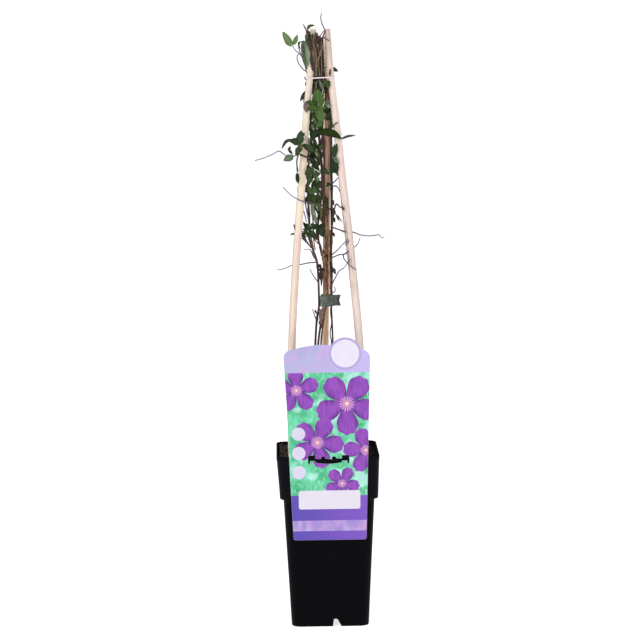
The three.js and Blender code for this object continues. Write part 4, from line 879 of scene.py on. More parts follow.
# %% Finer twigs
FINE_TWIGS = table("""
stem_left
strand: -9.4 -9.6 600, -11.4 -11.6 612, -12.8 -12.4 624, -13.2 -12.6 636, -13 -12.4 641 / -8.4 -9.4 600,
  -9.6 -11.4 612, -10.4 -12.2 624, -11.4 -12.4 634, -11.4 -12.2 642 / -7.4 -9 600, -8.4 -11 612,
  -8.8 -12 622, -8.6 634, -8.1 643.6
pale_strand: -8.9 -8 599.6, -8 -10.6 605, -7.1 -12 610.9, -8.6 -13 620.1, -10.2 -14 627.6, -12.2 633.6 /
  -7.1 -12 610.9, -4.3 -13.4 618.9, -2.6 -14 624.3
strand: -23 4 473.6, -21.4 463.8, -20 452.8, -17.9 440.8, -16.8 427.7, -15.4 414.6, -13.4 405.8
petiole: -16.9 2 473.6, -18.1 462.7, -18 452.9, -17.3 439.9, -15.7 427.8, -13.9 415.8, -11.9 405.9
strand: -22.5 2 421.4, -18.7 415.9, -15.5 410.4
tendril: -23.1 0 451, -21.4 445, -20.2 438.7 / -18.5 454, -18 446, -17.5 438.6
strand: -11.6 -10 603, -13.6 -12.4 612, -14.8 -12.8 622, -15.4 632, -15 -12.6 640 / -10.6 -10 602,
  -12.4 -12.4 613, -13.8 -12.8 624, -14.4 635, -13.9 -12.6 642 / -28 -24 514.2, -22.1 511.5, -16.3 509.3,
  -12 506 / -26.4 512.6, -21.1 510.6, -15.7 508.8
pale_strand: -10.1 -13.2 633.2, -8.1 622.5, -6.7 611.8, -7.5 601.1, -9.1 596.8 / -0.1 -13.4 628.8, -3 620.3,
  -6.1 611.8
maroon_strand: -10.8 -12.6 630, -11.1 637.5, -9.6 641.7
petiole: -16.9 3 423.4, -14.8 412.5, -12.8 403.7, -9.8 394.9
pale_strand: -15.4 2 419.1, -13.4 408.1, -10.9 399.4
strand: -18.1 3 427.8, -15.4 415.8, -12.3 405.9, -9.4 394.9, -8.6 388.3
pale_strand: -24.4 -24 534.6, -19.8 527.6, -15.1 523.2 / -22.5 535.1, -18 529, -14.4 525.3
strand: -17 4 461.1, -10.5 462.1, -6.2 460.3, -2.9 455.9
tendril: -11.6 4 458.2, -8.4 453.1, -4.6 448.3
pale_strand: -15.1 4 459.3, -14.8 449.5, -12.3 439.7 / -9.3 -10 590.4, -7.7 585, -8.2 579.7 / -6.9 591.5,
  -8.3 586.1, -9.9 581.8
strand: -34 -22 437.9, -33.5 435.1, -32.6 432.3
stem_middle
strand: -8.6 1 560, -8 0 575, -7.8 -1 590, -7.4 -5 603, -6.6 -8 616, -6.6 -9.6 630, -6.5 -9.4 642.5 /
  -4.4 4 560, -4 3.6 575, -3.6 3 595, -4 -2 606, -4.4 -6 618, -4.9 -8 630, -5 640.3
tendril: -6.2 9 535.1, -4.6 523.1, -2.8 514.4, -3.5 505.7
dry_strand: -13.7 6 462.5, -14.3 452.7, -12.9 440.6, -12.4 427.5, -12.1 416.6, -10.7 407.8
petiole: -6.5 8 473.1, -5.2 457.9, -5.2 447, -7 436.1, -6.8 422.9, -6.2 412, -4.2 401
strand: -14.2 4 424.4, -11 418.9, -7.4 414.5
pale_strand: -11.8 -12.8 637.5, -11.1 626.8, -9.3 616.1, -7.9 603.3, -7.6 596.8 / -4.9 -10.4 631,
  -4.4 620.3, -5 609.6, -4.1 597.9
maroon_strand: -6 -9 631.1, -4.8 637.5, -2 641, 0.8 644.9 / -4.1 3 508.1, -3.1 499.4, -2.8 488.6 /
  -2.4 505.9, -1.6 495.1, -2.2 479.9
petiole: -4.6 4 531.9, -3.2 521.1, -4 512.4
maroon_strand: -0.2 8 531.8, 1.2 524.2, 0.5 515.5
strand: -13.7 5 462.9, -9.4 457.4, -5.6 449.3, -3.6 438.4 / -12.6 462.5, -14.3 453.8, -12.9 445.1,
  -9.3 436.3
pale_strand: -8.2 4 473.4, -6.8 464.6, -4.5 455.9, -3.1 447.2
stem_slim
strand: -3.4 3 565, -2.8 2.6 580, -2.2 1 595, -2.4 -3 606, -2.6 -6 618, -2.8 -7.4 630, -2.9 -7.6 639.3 /
  -0.4 4 570, 0 3 582, -0.6 0 595, -1.6 -4 606, -1.8 -6.6 618, -1.9 -7.6 630, -1.8 -7.4 638.2
maroon_strand: 0 15 547.9, -1.1 537, -2.3 527.3, -1.1 517.4, -2.1 507.7, -2.9 496.8, -2.2 485.8, -1.4 472.7,
  -1.1 461.8
dry_strand: 1.6 14 543.5, 1.9 531.6, 0.9 521.8, -0.3 514.2, -0.2 502.2, -0.8 490.2, -0.1 477.1
maroon_strand: -2.5 17 470.5, -1.6 457.3, -2 444.2, -1.9 431, -1.4 417.8, -1.8 402.5
dry_strand: 1.2 17 456.2, 2 444.1, 1.4 428.8, 2.3 413.4, 1.2 398, 2.3 380.4, 1 359.5 / 1.7 16 423.4,
  0.6 406.9, -0.7 387.1, -0.4 358.5
maroon_strand: 1.5 14 391.7, 2.9 382.8, 1.1 374.1, 2.3 363
pale_strand: -1.7 -9.6 633.1, -2.3 620.3, -1.8 607.5, -2.3 596.8
maroon_strand: -4.3 -8.6 628.9, -1.4 635.3, 0.4 640.6
pale_strand: -1.8 -10 548.4, 3.4 553.7, 8.8 559.1
dry_strand: -0.2 15 426.7, 0.9 411.4, -0.4 393.8, 0.9 374, 0 358.6 / 3 16 422.2, 3.7 406.9, 2.8 389.3,
  3.5 369.5
strand: -2.3 14 407.1, 0.9 400.5, 3.7 393.8
maroon_strand: 5.5 14 418, 4.8 407, 5.7 398.2
dry_strand: 1.6 7 444.7, 1.2 433.8, 1.7 422.9
pale_strand: 3.3 7 446.9, 3.4 433.8, 3.7 420.7
maroon_strand: -0.4 6 447, -1.2 436.1, -0.4 425.2
stem_right
petiole: -1 2 593.3, 1.9 581.9, 6.4 580.3, 7.5 572.7, 9.3 565.1, 9.6 554.4
dry_strand: 4.1 14 422.4, 4.6 409.2, 3.9 393.8, 4.6 378.4, 3.5 358.6
petiole: 8 6 464, 8.9 4 461, 10.4 3 457.2
tendril: 21 -24 415, 22.4 -25 416.2, 25.1 420
strand: 1.8 1 570, 1.8 0 590, 1 -2 602, 0.6 -4 614, 0.3 -5 626, 0 -5.4 637
dry_strand: 6.4 19 428.6, 6.4 411, 5.8 393.4, 6.2 378, 5.4 358.1
strand: 4.9 17 393.6, 5.8 382.6, 4.8 371.5, 6.2 358.3 / 6.7 21 351.3, 5.4 338, 6.4 326.9, 4.7 314.8,
  5.9 304.8, 4.9 295.9
petiole: 3.5 1 588, 6.1 580.5, 7.1 570.8, 8 562.1
dry_strand: 2.3 3 589.1, 3.5 575.1, 2.9 562.1, 3.6 549.2
petiole: 8.3 4 540.4, 6.9 529.6, 7.2 518.8
bud: 17.7 -24 457.2, 19.2 454.8, 19.8 452.9
""")
print("finer twigs", sum(map(len, FINE_TWIGS.values())))

# %% [markdown]
# ## Bark
# Young bark is streaked along the stem, darker in its furrows, and changes colour from one height to
# another. It could be one brown for all, but the four stems would then melt into one. So each has its own
# three tones, streaks drawn out along it as for the canes' grain, and levels where the colour changes. A
# cut end shows the paler wood inside.


# %% Bark finish
def bark(name, dark, mid, light, *levels):
    """Levels are (from, to, colour): the bark turns to that colour between those heights."""
    look = Look(name)
    streak = look.noise(look.stretched(look.marks(), (1, 1, 0.05)), 0.35, 4, 0.6)
    blotch = look.noise(look.place((1, 1, 0.5)), 7, 3)
    high = look.parts(look.place())[2]
    patches = streak.ease(0.3, 0.7)
    colour = look.coats(
        dark, (streak.ease(0.4, 0.66), mid), (blotch.ease(0.52, 0.72) * 0.7, light),
        *[(high.ease(start, end), look.mix(patches, dark, level)) for start, end, level in levels],
        (look.side() * 0.8, look.mix(streak, (120, 44, 48), (196, 160, 120))))
    return look.finish(colour, streak * 0.2 + 0.5, streak, depth=0.1, strength=0.6)


FORKS = 590, 602  # between these heights the stems fork into thin woody strands
STEM_BARKS = {
    "stem_left": bark("purple stem bark", (40, 22, 32), (76, 44, 54), (106, 74, 66),
                      (440, 475, (124, 70, 62)), (*FORKS, (142, 106, 88))),
    "stem_right": bark("near black stem bark", (18, 14, 20), (34, 24, 32), (58, 42, 44),
                       (505, 535, (112, 72, 54)), (446, 425, (104, 70, 58)), (352, 346, (84, 48, 84))),
    "stem_middle": bark("mottled stem bark", (50, 26, 26), (80, 46, 50), (118, 84, 70),
                        (440, 475, (124, 70, 62)), (*FORKS, (142, 106, 88)),
                        (412, 400, (190, 146, 108)), (350, 340, (84, 50, 60))),
    "stem_slim": bark("peeling brown bark", (64, 32, 24), (180, 136, 100), (230, 188, 146),
                      (450, 475, (128, 76, 66)), (*FORKS, (138, 104, 84)), (330, 310, (96, 66, 62))),
}
TWIG_BARKS = [
    bark("tendril skin", (78, 68, 100), (120, 110, 146), (138, 130, 154)),
    bark("brown strand bark", (36, 21, 17), (74, 47, 35), (116, 88, 60)),
    bark("red leaf stalk skin", (66, 32, 38), (98, 54, 56), (120, 92, 84)),
    bark("dry strand bark", (128, 88, 62), (196, 156, 118), (226, 190, 152)),
    bark("pale strand bark", (96, 80, 62), (138, 122, 98), (164, 150, 122)),
    bark("maroon strand bark", (70, 24, 32), (112, 46, 56), (134, 76, 74)),
]
print("barks", len(STEM_BARKS) + len(TWIG_BARKS))

# %% Kinds of twigs and a ridged skin
# How thick each kind of twig is at its root and its tip, and which of the twig barks it has, from 1.
TWIG_KINDS = {
    "tendril": (0.8, 0.46, 1), "strand": (0.75, 0.62, 2), "petiole": (0.9, 0.62, 3), "climber": (1, 0.7, 3),
    "dry_strand": (0.9, 0.7, 4), "bud": (0.8, 1.5, 2), "pale_strand": (0.44, 0.38, 5),
    "maroon_strand": (0.7, 0.5, 6),
}
STEM_LINES = {name: Line(route) for name, route in STEM_ROUTES.items()}
RIDGES, RIDGE_HIGH, JOINT_HIGH, JOINT_LONG = 7, 0.07, 0.42, 2.0  # the heights are shares of the stem's radius
FIRST_JOINT, JOINT_STEP, LAST_JOINT = 215, 58, 630


def ridged(joints, size):
    """Soft ridges and a swelling at each joint, for a stem's skin."""
    def swell(along, turn):
        joint = sum(JOINT_HIGH * math.exp(-(((along - z) / JOINT_LONG) ** 2)) for z in joints)
        return size * (RIDGE_HIGH * np.cos(RIDGES * turn + along * 0.01) + joint)
    return swell


print("stem lengths", {name: round(float(line.length)) for name, line in STEM_LINES.items()})

# %% Grow the stems
for number, (name, line) in enumerate(STEM_LINES.items()):
    piece = Piece(name + "_bark")
    heights = line.at(np.linspace(0, 1, 201))[:, 2]
    levels = range(FIRST_JOINT + 9 * number, LAST_JOINT, JOINT_STEP)
    joints = [float(np.interp(z, heights, line.walked)) for z in levels]
    tube(piece, line, STEM_THICK[name], 14, 260, ridged(joints, STEM_THICK[name][0]), cap=2)
    for (kind, *start), points in TWIGS[name]:
        root = line.at_height(float(start[0])) if len(start) == 1 else np.array(start, float)
        *thick, look_number = TWIG_KINDS[kind]
        tube(piece, [tuple(root), *points], thick, 8, 14 * len(points), finish=look_number)
    for (kind,), points in FINE_TWIGS[name]:
        *thick, look_number = TWIG_KINDS[kind]
        tube(piece, points, thick, 7, 12 * len(points), finish=look_number)
    piece.make([STEM_BARKS[name], *TWIG_BARKS], [name])
print("stems", list(STEM_LINES))

# %% [markdown]
# ## The elastic band and the green tape
# A thin white elastic holds the three canes, pulled tight, so it is straight between them and bends only
# round their outsides. That line is the tight loop round three circles. The tape round the back cane and
# the stems is found in the same way; it is two turns of ribbon with one cut end that stands out.

# %% A tight loop round circles
def tight_loop(circles, gap, steps=40):
    """The tight line round some circles, anticlockwise, as x and y."""
    turn = np.linspace(0, 2 * math.pi, steps, endpoint=False)
    spoke = np.stack([np.cos(turn), np.sin(turn)], 1)
    points = np.vstack([(x, y) + (r + gap) * spoke for x, y, r in circles])
    points = points[np.lexsort((points[:, 1], points[:, 0]))]

    def half(run):
        chain = []
        for p in run:
            while len(chain) > 1 and np.cross(chain[-1] - chain[-2], p - chain[-1]) <= 1e-9:
                chain.pop()
            chain.append(p)
        return chain[:-1]
    return np.array(half(points) + half(points[::-1]))


def even_loop(corners, count):
    """The same closed line with points at even spacing."""
    closed = np.vstack([corners, corners[:1]])
    walked = np.concatenate([[0], np.cumsum(np.linalg.norm(np.diff(closed, axis=0), axis=1))])
    want = np.linspace(0, walked[-1], count, endpoint=False)
    return np.stack([np.interp(want, walked, closed[:, k]) for k in (0, 1)], 1)


print("corners of a loop round two circles", len(tight_loop([(0, 0, 3), (9, 0, 3)], 0.5)))


# %% A closed cord
def closed_tube(piece, path, radius, sides):
    """A round cord along a closed line."""
    onward = unit(np.roll(path, -1, 0) - np.roll(path, 1, 0))
    out = unit(np.cross(onward, (0, 0, 1)))
    rise = np.cross(out, onward)
    count = len(path)
    points, marks = [], []
    for k in range(sides):
        a = 2 * math.pi * k / sides
        points.append(path + radius * (math.cos(a) * out + math.sin(a) * rise))
        round_at = np.full(count, math.cos(a)), np.full(count, math.sin(a))
        marks.append(np.stack([*round_at, np.arange(count) * 0.5], 1))
    piece.add(np.vstack(points), quads(sides, count, again=True), np.vstack(marks))


print("faces of a closed cord of 6 sides and 20 points", len(quads(6, 20, again=True)))

# %% Elastic band
look = Look("white elastic")
twist = look.noise(look.stretched(look.marks(), (1, 1, 0.35)), 0.7, 3)
soil = look.noise(look.place(), 6, 3)
colour = look.mix(soil.ease(0.4, 0.7) * 0.6, (238, 228, 232), (206, 180, 194))
elastic = look.finish(colour, twist * 0.2 + 0.45, twist, depth=0.08)

BAND_HIGH, BAND_RISE, CANE_THERE, BAND_GAP, CORD_APART, CORD_RADIUS = 595, 0.04, 3.8, 0.7, 0.34, 0.36
circles = [(*line.at_height(BAND_HIGH)[:2], CANE_THERE) for line in CANE_LINES.values()]
loop = even_loop(tight_loop(circles, BAND_GAP), 150)
band = Piece("elastic_band")
for drop in (CORD_APART, -CORD_APART):
    path = np.column_stack([loop, BAND_HIGH + BAND_RISE * loop[:, 0] + drop])
    closed_tube(band, path, CORD_RADIUS, 10)
band.make([elastic], ["cane_band"])
print("the band is", np.linalg.norm(loop - np.roll(loop, 1, 0), axis=1).sum().round(1), "mm round")

# %% The tape's finish
look = Look("green tape")
place = look.place()
across = look.parts(place)[0]
weave = look.noise(look.stretched(place, (0.4, 0.4, 3)), 0.7, 3)
colour = look.coats(
    (54, 66, 58), (look.noise(place, 4, 4).ease(0.35, 0.7), (82, 94, 84)),
    # Painted highlight: the left part of the tape is made lighter.
    (across.ease(3, -4) * 0.55, (112, 118, 110)),
    (look.noise(place, 3, 2).ease(0.56, 0.7) * 0.5, (150, 156, 146)),
    # Painted shade: the free end is darker from about 12 mm out to its tip.
    (across.ease(11.9, 12.7) * 0.75, (38, 44, 40)))
green_tape = look.finish(colour, weave * 0.2 + 0.4, weave, depth=0.06)
print("made", green_tape.name)

# %% Two turns of tape
TAPE_LOW, TAPE_HIGH, TAPE_TIP, TAPE_HALF, NOTCH_DEEP = 344.7, 357.2, 16.9, 0.3, 1.8
LOOP_POINTS, RIBBON_ROWS, TAIL_ROWS, TAIL_COLUMNS, TAPE_THICK = 120, 9, 7, 9, 0.36
middle = (TAPE_LOW + TAPE_HIGH) / 2
TIED = ("stem_middle", "stem_slim", "stem_right")
circles = [(*STEM_LINES[name].at_height(middle)[:2], STEM_THICK[name][0]) for name in TIED]
circles.append((*CANE_LINES["cane_back"].at_height(middle)[:2], 3.7))
circles.append((circles[0][0] - 0.9, circles[0][1], circles[0][2]))
tape = Piece("tape_wrap")
turns = ((TAPE_LOW + 0.9, TAPE_HIGH, 1.05), (TAPE_LOW, TAPE_HIGH - 1.1, 1.45))
for turn_number, (low, high, gap) in enumerate(turns):
    path = even_loop(tight_loop(circles, gap), LOOP_POINTS)
    out = even_loop(tight_loop(circles, gap + TAPE_THICK), LOOP_POINTS)
    rows = []
    for z in np.linspace(low, high, RIBBON_ROWS):
        spots = [(p[0] * 0.5, p[1] * 0.5, z * 0.3 + turn_number * 9) for p in out]
        crease = np.array([noise.noise(Vector(spot)) for spot in spots])
        rows.append(np.column_stack([out * (1 + crease[:, None] * 0.0024), np.full(LOOP_POINTS, z)]))
    inner = [np.column_stack([path, np.full(LOOP_POINTS, z)]) for z in (high, low)]
    skin(tape, rows + inner + [rows[0]])
print("points of the turns", tape.count)

# %% The tape's free end
start_x, start_y = path[path[:, 0].argmax()]
across = np.linspace(0, 1, TAIL_COLUMNS)
rows = []
for share in np.linspace(0, 1, TAIL_ROWS):
    reach = TAPE_TIP - NOTCH_DEEP * (1 - abs(2 * share - 1))
    z = TAPE_LOW + 0.3 + share * (TAPE_HIGH - TAPE_LOW - 0.3)
    x, y = start_x + (reach - start_x) * across, start_y + 0.5 * np.sin(across * 2.4)
    rows.append(np.column_stack([x, y, np.full(TAIL_COLUMNS, z)]))
tail = np.vstack(rows)
thick = np.array((0, TAPE_HALF, 0))
tape.add(np.vstack([tail + thick, tail - thick]), slab(TAIL_ROWS, TAIL_COLUMNS), np.vstack([tail, tail]))
tape.make([green_tape], ["stem_tie"], smooth=False)
print("tape points", tape.count)

# %% [markdown]
# ## The label
# A plastic sheet with an arched top and a round lobe, hung by a tab over the rim. A slot in it has two
# bumps. Real labels of this kind carry print. Here the print is a plain design of the same kind: a lilac
# head, a blurred leafy ground with pointed purple blossoms, bare white tabs and purple bands. It is worked
# out point by point from the place on the sheet, so its edges are sharp from any distance.

# %% Patches and flowers of the print
def rounded_patch(x, z, centre, half, corner, soft=0.2):
    """1 inside a rectangle with round corners."""
    dx = (abs(x - centre[0]) - (half[0] - corner)).step("MAXIMUM", 0.0)
    dz = (abs(z - centre[1]) - (half[1] - corner)).step("MAXIMUM", 0.0)
    return ((dx * dx + dz * dz).step("SQRT") - corner).ease(soft, -soft)


def disc(x, z, centre, radius):
    return rounded_patch(x, z, centre, (radius, radius), radius - 0.01)


def blossom(look, x, z, centre, size, turn, petals):
    """Where a flower is, how far out along its petals, how near a petal's middle line, and its stamens."""
    dx, dz = x - centre[0], z - centre[1]
    far = (dx * dx + dz * dz).step("SQRT") / size
    angle = look.math("ARCTAN2", dz, dx) + turn
    lobe = abs((angle * (petals / 2)).step("COSINE"))
    reach = lobe.step("POWER", 0.34) * 0.84 + 0.12
    ruffle = (angle * 23.0).step("SINE") * 0.018
    stamens = (angle * 15.0).step("SINE").ease(0.1, 0.7) * far.ease(0.24, 0.19)
    return (reach + ruffle - far).ease(0, 0.035), far, lobe, stamens


print("shapes for the print", [shape.__name__ for shape in (rounded_patch, disc, blossom)])

# %% The leafy ground and its flowers
look = Look("printed sheet")
place = look.place()
x, _, z = look.parts(place)
upright = look.stretched(place, (1, 1, 0.3))
blur, leafy = look.noise(place, 13, 2), look.noise(look.stretched(place, (0.9, 1, 0.4)), 9, 2)
stalks, vein = look.noise(upright, 5, 1), look.noise(upright, 3.2, 3)
ground = look.coats(
    (60, 172, 118), (blur.ease(0.3, 0.7), (108, 210, 170)), (leafy.ease(0.54, 0.66) * 0.5, (46, 150, 98)),
    (look.noise(place, 17, 1).ease(0.5, 0.66) * 0.75, (176, 228, 220)),
    (abs(stalks - 0.5).ease(0.016, 0.004) * 0.6, (206, 236, 216)))
BLOSSOMS = [
    ((20, 247), 36, 0.3, 5), ((-34, 262), 26, 0.9, 5), ((-12, 205), 30, 0.1, 5),
    ((40, 196), 26, 0.7, 5), ((14, 160), 20, 0.2, 5),
]
for centre, size, turn, petals in BLOSSOMS:
    petal, far, lobe, stamens = blossom(look, x, z, centre, size, turn, petals)
    colour = look.coats(
        (84, 36, 128), (lobe.ease(0.2, 0.95), (128, 60, 170)),
        (vein.ease(0.42, 0.62) * 0.45, (164, 78, 188)), (far.ease(0.3, 0.05) * 0.5, (196, 120, 200)))
    ground = look.coats(
        ground, (petal, colour), (stamens * 0.8, (224, 186, 206)), (far.ease(0.12, 0.07), (206, 140, 166)),
        (far.ease(0.05, 0.03), (238, 220, 226)))
print("flowers on the label", len(BLOSSOMS))

# %% Head, bands and bare patches
head = look.coats(
    (170, 170, 208), (x.ease(-48, 46), (186, 174, 224)),
    (blur.ease(0.42, 0.6) * x.ease(20, -20) * 0.85, (196, 158, 208)),
    (leafy.ease(0.5, 0.66) * x.ease(20, -20) * 0.6, (152, 162, 204)))
violet = look.mix(x.ease(-40, 40), (86, 66, 168), (118, 76, 184))
mottle = look.coats(
    (148, 130, 200), (leafy.ease(0.35, 0.65), (190, 150, 208)),
    (look.noise(place, 4, 2).ease(0.55, 0.75) * 0.7, (128, 190, 204)))
disc_white = look.mix(blur, (196, 188, 218), (214, 210, 226))
panel_white = look.mix(blur, (212, 206, 220), (220, 214, 227))
lobe_white = look.mix(blur, (214, 208, 226), (224, 218, 234))
LOBE = (18.7, 301.4)
print_all = look.coats(
    ground, (z.ease(280.8, 281.2), head), (z.ease(147.2, 146.8), violet),
    (z.ease(107.75, 108.25) * z.ease(119.75, 119.25), mottle),
    *[(disc(x, z, (-32.3, level), 7.2), disc_white) for level in (214.5, 193.5, 172.5)],
    (rounded_patch(x, z, (0.3, 142.2), (33.2, 10.2), 2.4), panel_white),
    (disc(x, z, LOBE, 17.4), (170, 156, 208)), (disc(x, z, LOBE, 15), lobe_white))
crease = look.noise(look.stretched(place, (0.3, 1, 1)), 6, 2)
printed_sheet = look.finish(
    print_all, crease * 0.08 + 0.3, crease, depth=0.12, strength=0.25, Specular_IOR_Level=0.35)

look = Look("plain sheet")
haze = look.noise(look.place(), 12, 3)
white = look.mix(haze, (206, 200, 218), (224, 220, 232))
plain_sheet = look.finish(white, haze * 0.1 + 0.32, haze, depth=0.05)
print("made", printed_sheet.name, "and", plain_sheet.name)

# %% [markdown]
# ## The sheet itself
# The sheet is cut from a flat plastic film, so its outline and its slot are drawn once, as closed curves.
# A filled curve makes a clean face round the slot by itself, and gets its thickness and a small round edge
# in the same step. It is then stood upright, leant against the rim, and two bars make the tab.


# %% The sheet's outline
def bend(start, pull, end, steps=10):
    """A curve from start to end, pulled towards a point."""
    t = np.linspace(0, 1, steps + 1)[1:, None]
    return ((1 - t) ** 2 * start + 2 * t * (1 - t) * pull + t**2 * end).tolist()


def arc(centre, radius, first, last, steps):
    """Points round part of a circle, between two turns."""
    turn = np.linspace(first, last, steps + 1)
    return [(centre[0] + radius * math.cos(a), centre[1] + radius * math.sin(a)) for a in turn]


outline = [(-36.2, 98), (36.8, 98)] + bend((36.8, 98), (39.7, 98), (39.9, 101))
outline += [(42.9, 210), (45.5, 296)] + bend((45.5, 296), (45.6, 303.5), (35.5, 306.3))
outline += arc(LOBE, 17.5, 0.28, 2.58, 40)
outline += bend(outline[-1], (-18, 312.4), (-38.7, 306.2), 16)
outline += bend((-38.7, 306.2), (-47.4, 304.5), (-47.3, 297))
outline += [(-44.5, 243), (-41.9, 165), (-39.1, 101)]
outline += bend((-39.1, 101), (-39, 98), (-36.2, 98))[:-1]
slot_edge = [(-22.4, 182), (-22.4, 191), (-14.5, 191), (-14.5, 187.4), (-8.5, 187)]
slot_edge += arc((-6.2, 187.6), 2.3, math.pi, 0, 12) + [(3.3, 186.4)] + arc((5.6, 187.5), 2.3, math.pi, 0, 12)
slot_edge += [(14.1, 187.4), (14.1, 191), (22.1, 191), (22.1, 182), (19.9, 182), (19.9, 185)]
slot_edge += [(14.1, 185), (14.1, 183.3)]
slot_edge += bend((14.1, 183.3), (0, 179.9), (-14.5, 183.2), 14)
slot_edge += [(-14.5, 185), (-20.2, 185), (-20.2, 182)]
print("points round the sheet and its slot", len(outline), len(slot_edge))


# %% The flat sheet
SHEET, SHEET_BACK, SHEET_LEAN, SHEET_EDGE, TAB_HALF, TAB_LOW = 0.8, -55.3, 0.035, 0.12, 11, 185.6
flat = bpy.data.curves.new("sheet outline", "CURVE")
flat.dimensions, flat.fill_mode = "2D", "BOTH"
flat.extrude, flat.bevel_depth = (SHEET / 2 - SHEET_EDGE) * MM, SHEET_EDGE * MM
flat.offset = -SHEET_EDGE * MM
for edge_points in (outline, slot_edge):
    spline = flat.splines.new("POLY")
    spline.points.add(len(edge_points) - 1)
    spline.use_cyclic_u = True
    for point, (px, pz) in zip(spline.points, edge_points):
        point.co = (px * MM, pz * MM, 0, 1)
flat_thing = bpy.data.objects.new("flat sheet", flat)
scene.collection.objects.link(flat_thing)
bpy.context.view_layer.update()
flat_mesh = bpy.data.meshes.new_from_object(flat_thing)
bpy.data.objects.remove(flat_thing)
print("flat sheet faces", len(flat_mesh.polygons))

# %% The sheet on the rim, and its tab
sheet = Piece("label_sheet")
corners = np.array([v.co for v in flat_mesh.vertices]) / MM
lean = SHEET_BACK - SHEET / 2 + SHEET_LEAN * (POT_HIGH - corners[:, 1])
placed = np.column_stack([corners[:, 0], lean - corners[:, 2], corners[:, 1]])
for face in flat_mesh.polygons:
    pick = list(face.vertices)
    sheet.add(placed[pick], [range(len(pick))], placed[pick], 0.0, 0 if face.normal.z > 0.9 else 1)
inner = -RIM + WALL + 0.6
over = POT_HIGH + 0.3
tab_end = (TAB_HALF, inner + SHEET, over + SHEET)
bar(sheet, (-TAB_HALF, SHEET_BACK - SHEET / 2, over), tab_end, finish=1)
bar(sheet, (-TAB_HALF, inner, TAB_LOW), tab_end, finish=1)
sheet.make([printed_sheet, plain_sheet], ["plant_label"], smooth=False)
print("label faces", len(sheet.faces))

# %% [markdown]
# ## Leaves
# Each leafy spray is a stalk with a few leaflets, thin, folded along the midrib, with coarse teeth and a
# pointed tip. A leaflet could be a flat cut-out, but from the side that shows at once, so each is a grid of
# points that runs from stalk to tip: its width follows a toothed outline, its two halves rise from the
# midrib, its edge waves, and its side veins stand out a little. Every point remembers how far along and
# how far across the leaflet it lies, and the veins of the finish follow those two numbers.


# %% Leaf finish
EDGE_RED = (84, 48, 60)


def leaf_finish(name, deep, mid, light, back, shine):
    look = Look(name)
    along, across, shade = look.parts(look.marks())
    out, place = abs(across), look.place()
    blotch, cells = look.noise(place, 2.2, 4), look.noise(place, 0.45, 3)
    wave = (along * 8.0 - out * 1.9).step("FRACT") - 0.5
    side_veins = abs(wave).ease(0.24, 0.05) * out.ease(1.0, 0.75) * 0.8
    net = out.ease(0.17, 0.04).step("MAXIMUM", side_veins)
    colour = look.coats(
        deep, (blotch.ease(0.36, 0.62), mid), (shade * 0.7, light), (net * 0.6, light),
        (out.ease(0.86, 1.0) * 0.5, EDGE_RED), (along.ease(0.86, 1.0) * 0.3, EDGE_RED),
        (look.side() * 0.85, look.mix(net * 0.5, back, light)))
    relief = cells * 0.35 + net * -0.65
    return look.finish(
        colour, cells * 0.14 + shine, relief, depth=0.14, strength=0.7, Specular_IOR_Level=0.09)


print("tint of the edges", EDGE_RED)

# %% Tones of the leaves
# Four tones each: between the veins, the blade, the veins, the underside.
LEAF_TONES = {
    "dark": ((10, 20, 9), (26, 41, 18), (62, 82, 51), (84, 98, 80)),
    "green": ((20, 36, 14), (40, 60, 24), (86, 110, 64), (96, 114, 80)),
    "bright": ((20, 40, 8), (42, 70, 16), (92, 120, 62), (96, 118, 76)),
    "young": ((44, 66, 34), (84, 108, 60), (130, 152, 100), (106, 122, 86)),
    "glossy": ((10, 18, 0), (22, 32, 2), (48, 62, 16), (60, 74, 30)),
    "slate": ((20, 24, 22), (38, 44, 42), (72, 80, 78), (62, 68, 68)),
    "edge": ((100, 118, 88), (132, 148, 118), (166, 178, 152), (126, 142, 112)),
    "grey": ((62, 78, 58), (92, 110, 86), (138, 152, 124), (118, 132, 112)),
    "olive": ((34, 42, 22), (58, 68, 36), (98, 108, 66), (100, 108, 80)),
    "dry": ((38, 22, 20), (72, 46, 38), (120, 92, 74), (96, 74, 62)),
    "withered": ((76, 60, 56), (118, 100, 94), (152, 132, 124), (124, 106, 98)),
    "sheath": ((66, 38, 28), (112, 74, 54), (150, 112, 84), (96, 74, 62)),
    "husk": ((24, 13, 13), (46, 27, 25), (80, 56, 48), (56, 42, 36)),
}
DULL = ("dry", "withered", "sheath", "husk")
LEAF_FINISH = {
    name: leaf_finish(name + " leaf", *rows, 0.6 if name in DULL else 0.42)
    for name, rows in LEAF_TONES.items()
}
print("leaf finishes", len(LEAF_FINISH))

# %% Outlines of the leaflets
TWIST, ROOT_SINK, LEAF_THICK, MIDRIB = 0.42, 0.9, 0.36, 0.16
FOLD, WAVE, QUILT, DIP = 0.1, 0.05, 0.012, 0.02  # shares of the leaflet's width
ARCH, VEINS, VEIN_SLANT = 0.1, 8, 1.9
# Leaflets from this width on: places along one, then the shares of its widest half at its left and right.
SHAPES = [
    (7.3, (0, 0.17, 0.33, 0.47, 0.64, 0.82, 1), (0.12, 0.8, 1, 0.78, 0.8, 0.42, 0),
     (0.12, 0.74, 0.96, 0.96, 0.62, 0.44, 0)),
    (5, (0, 0.24, 0.5, 0.75, 1), (0.12, 1, 0.76, 0.6, 0), (0.12, 0.82, 1, 0.44, 0)),
    (0, (0, 0.35, 0.7, 1), (0.12, 1, 0.58, 0), (0.12, 0.88, 0.7, 0)),
]


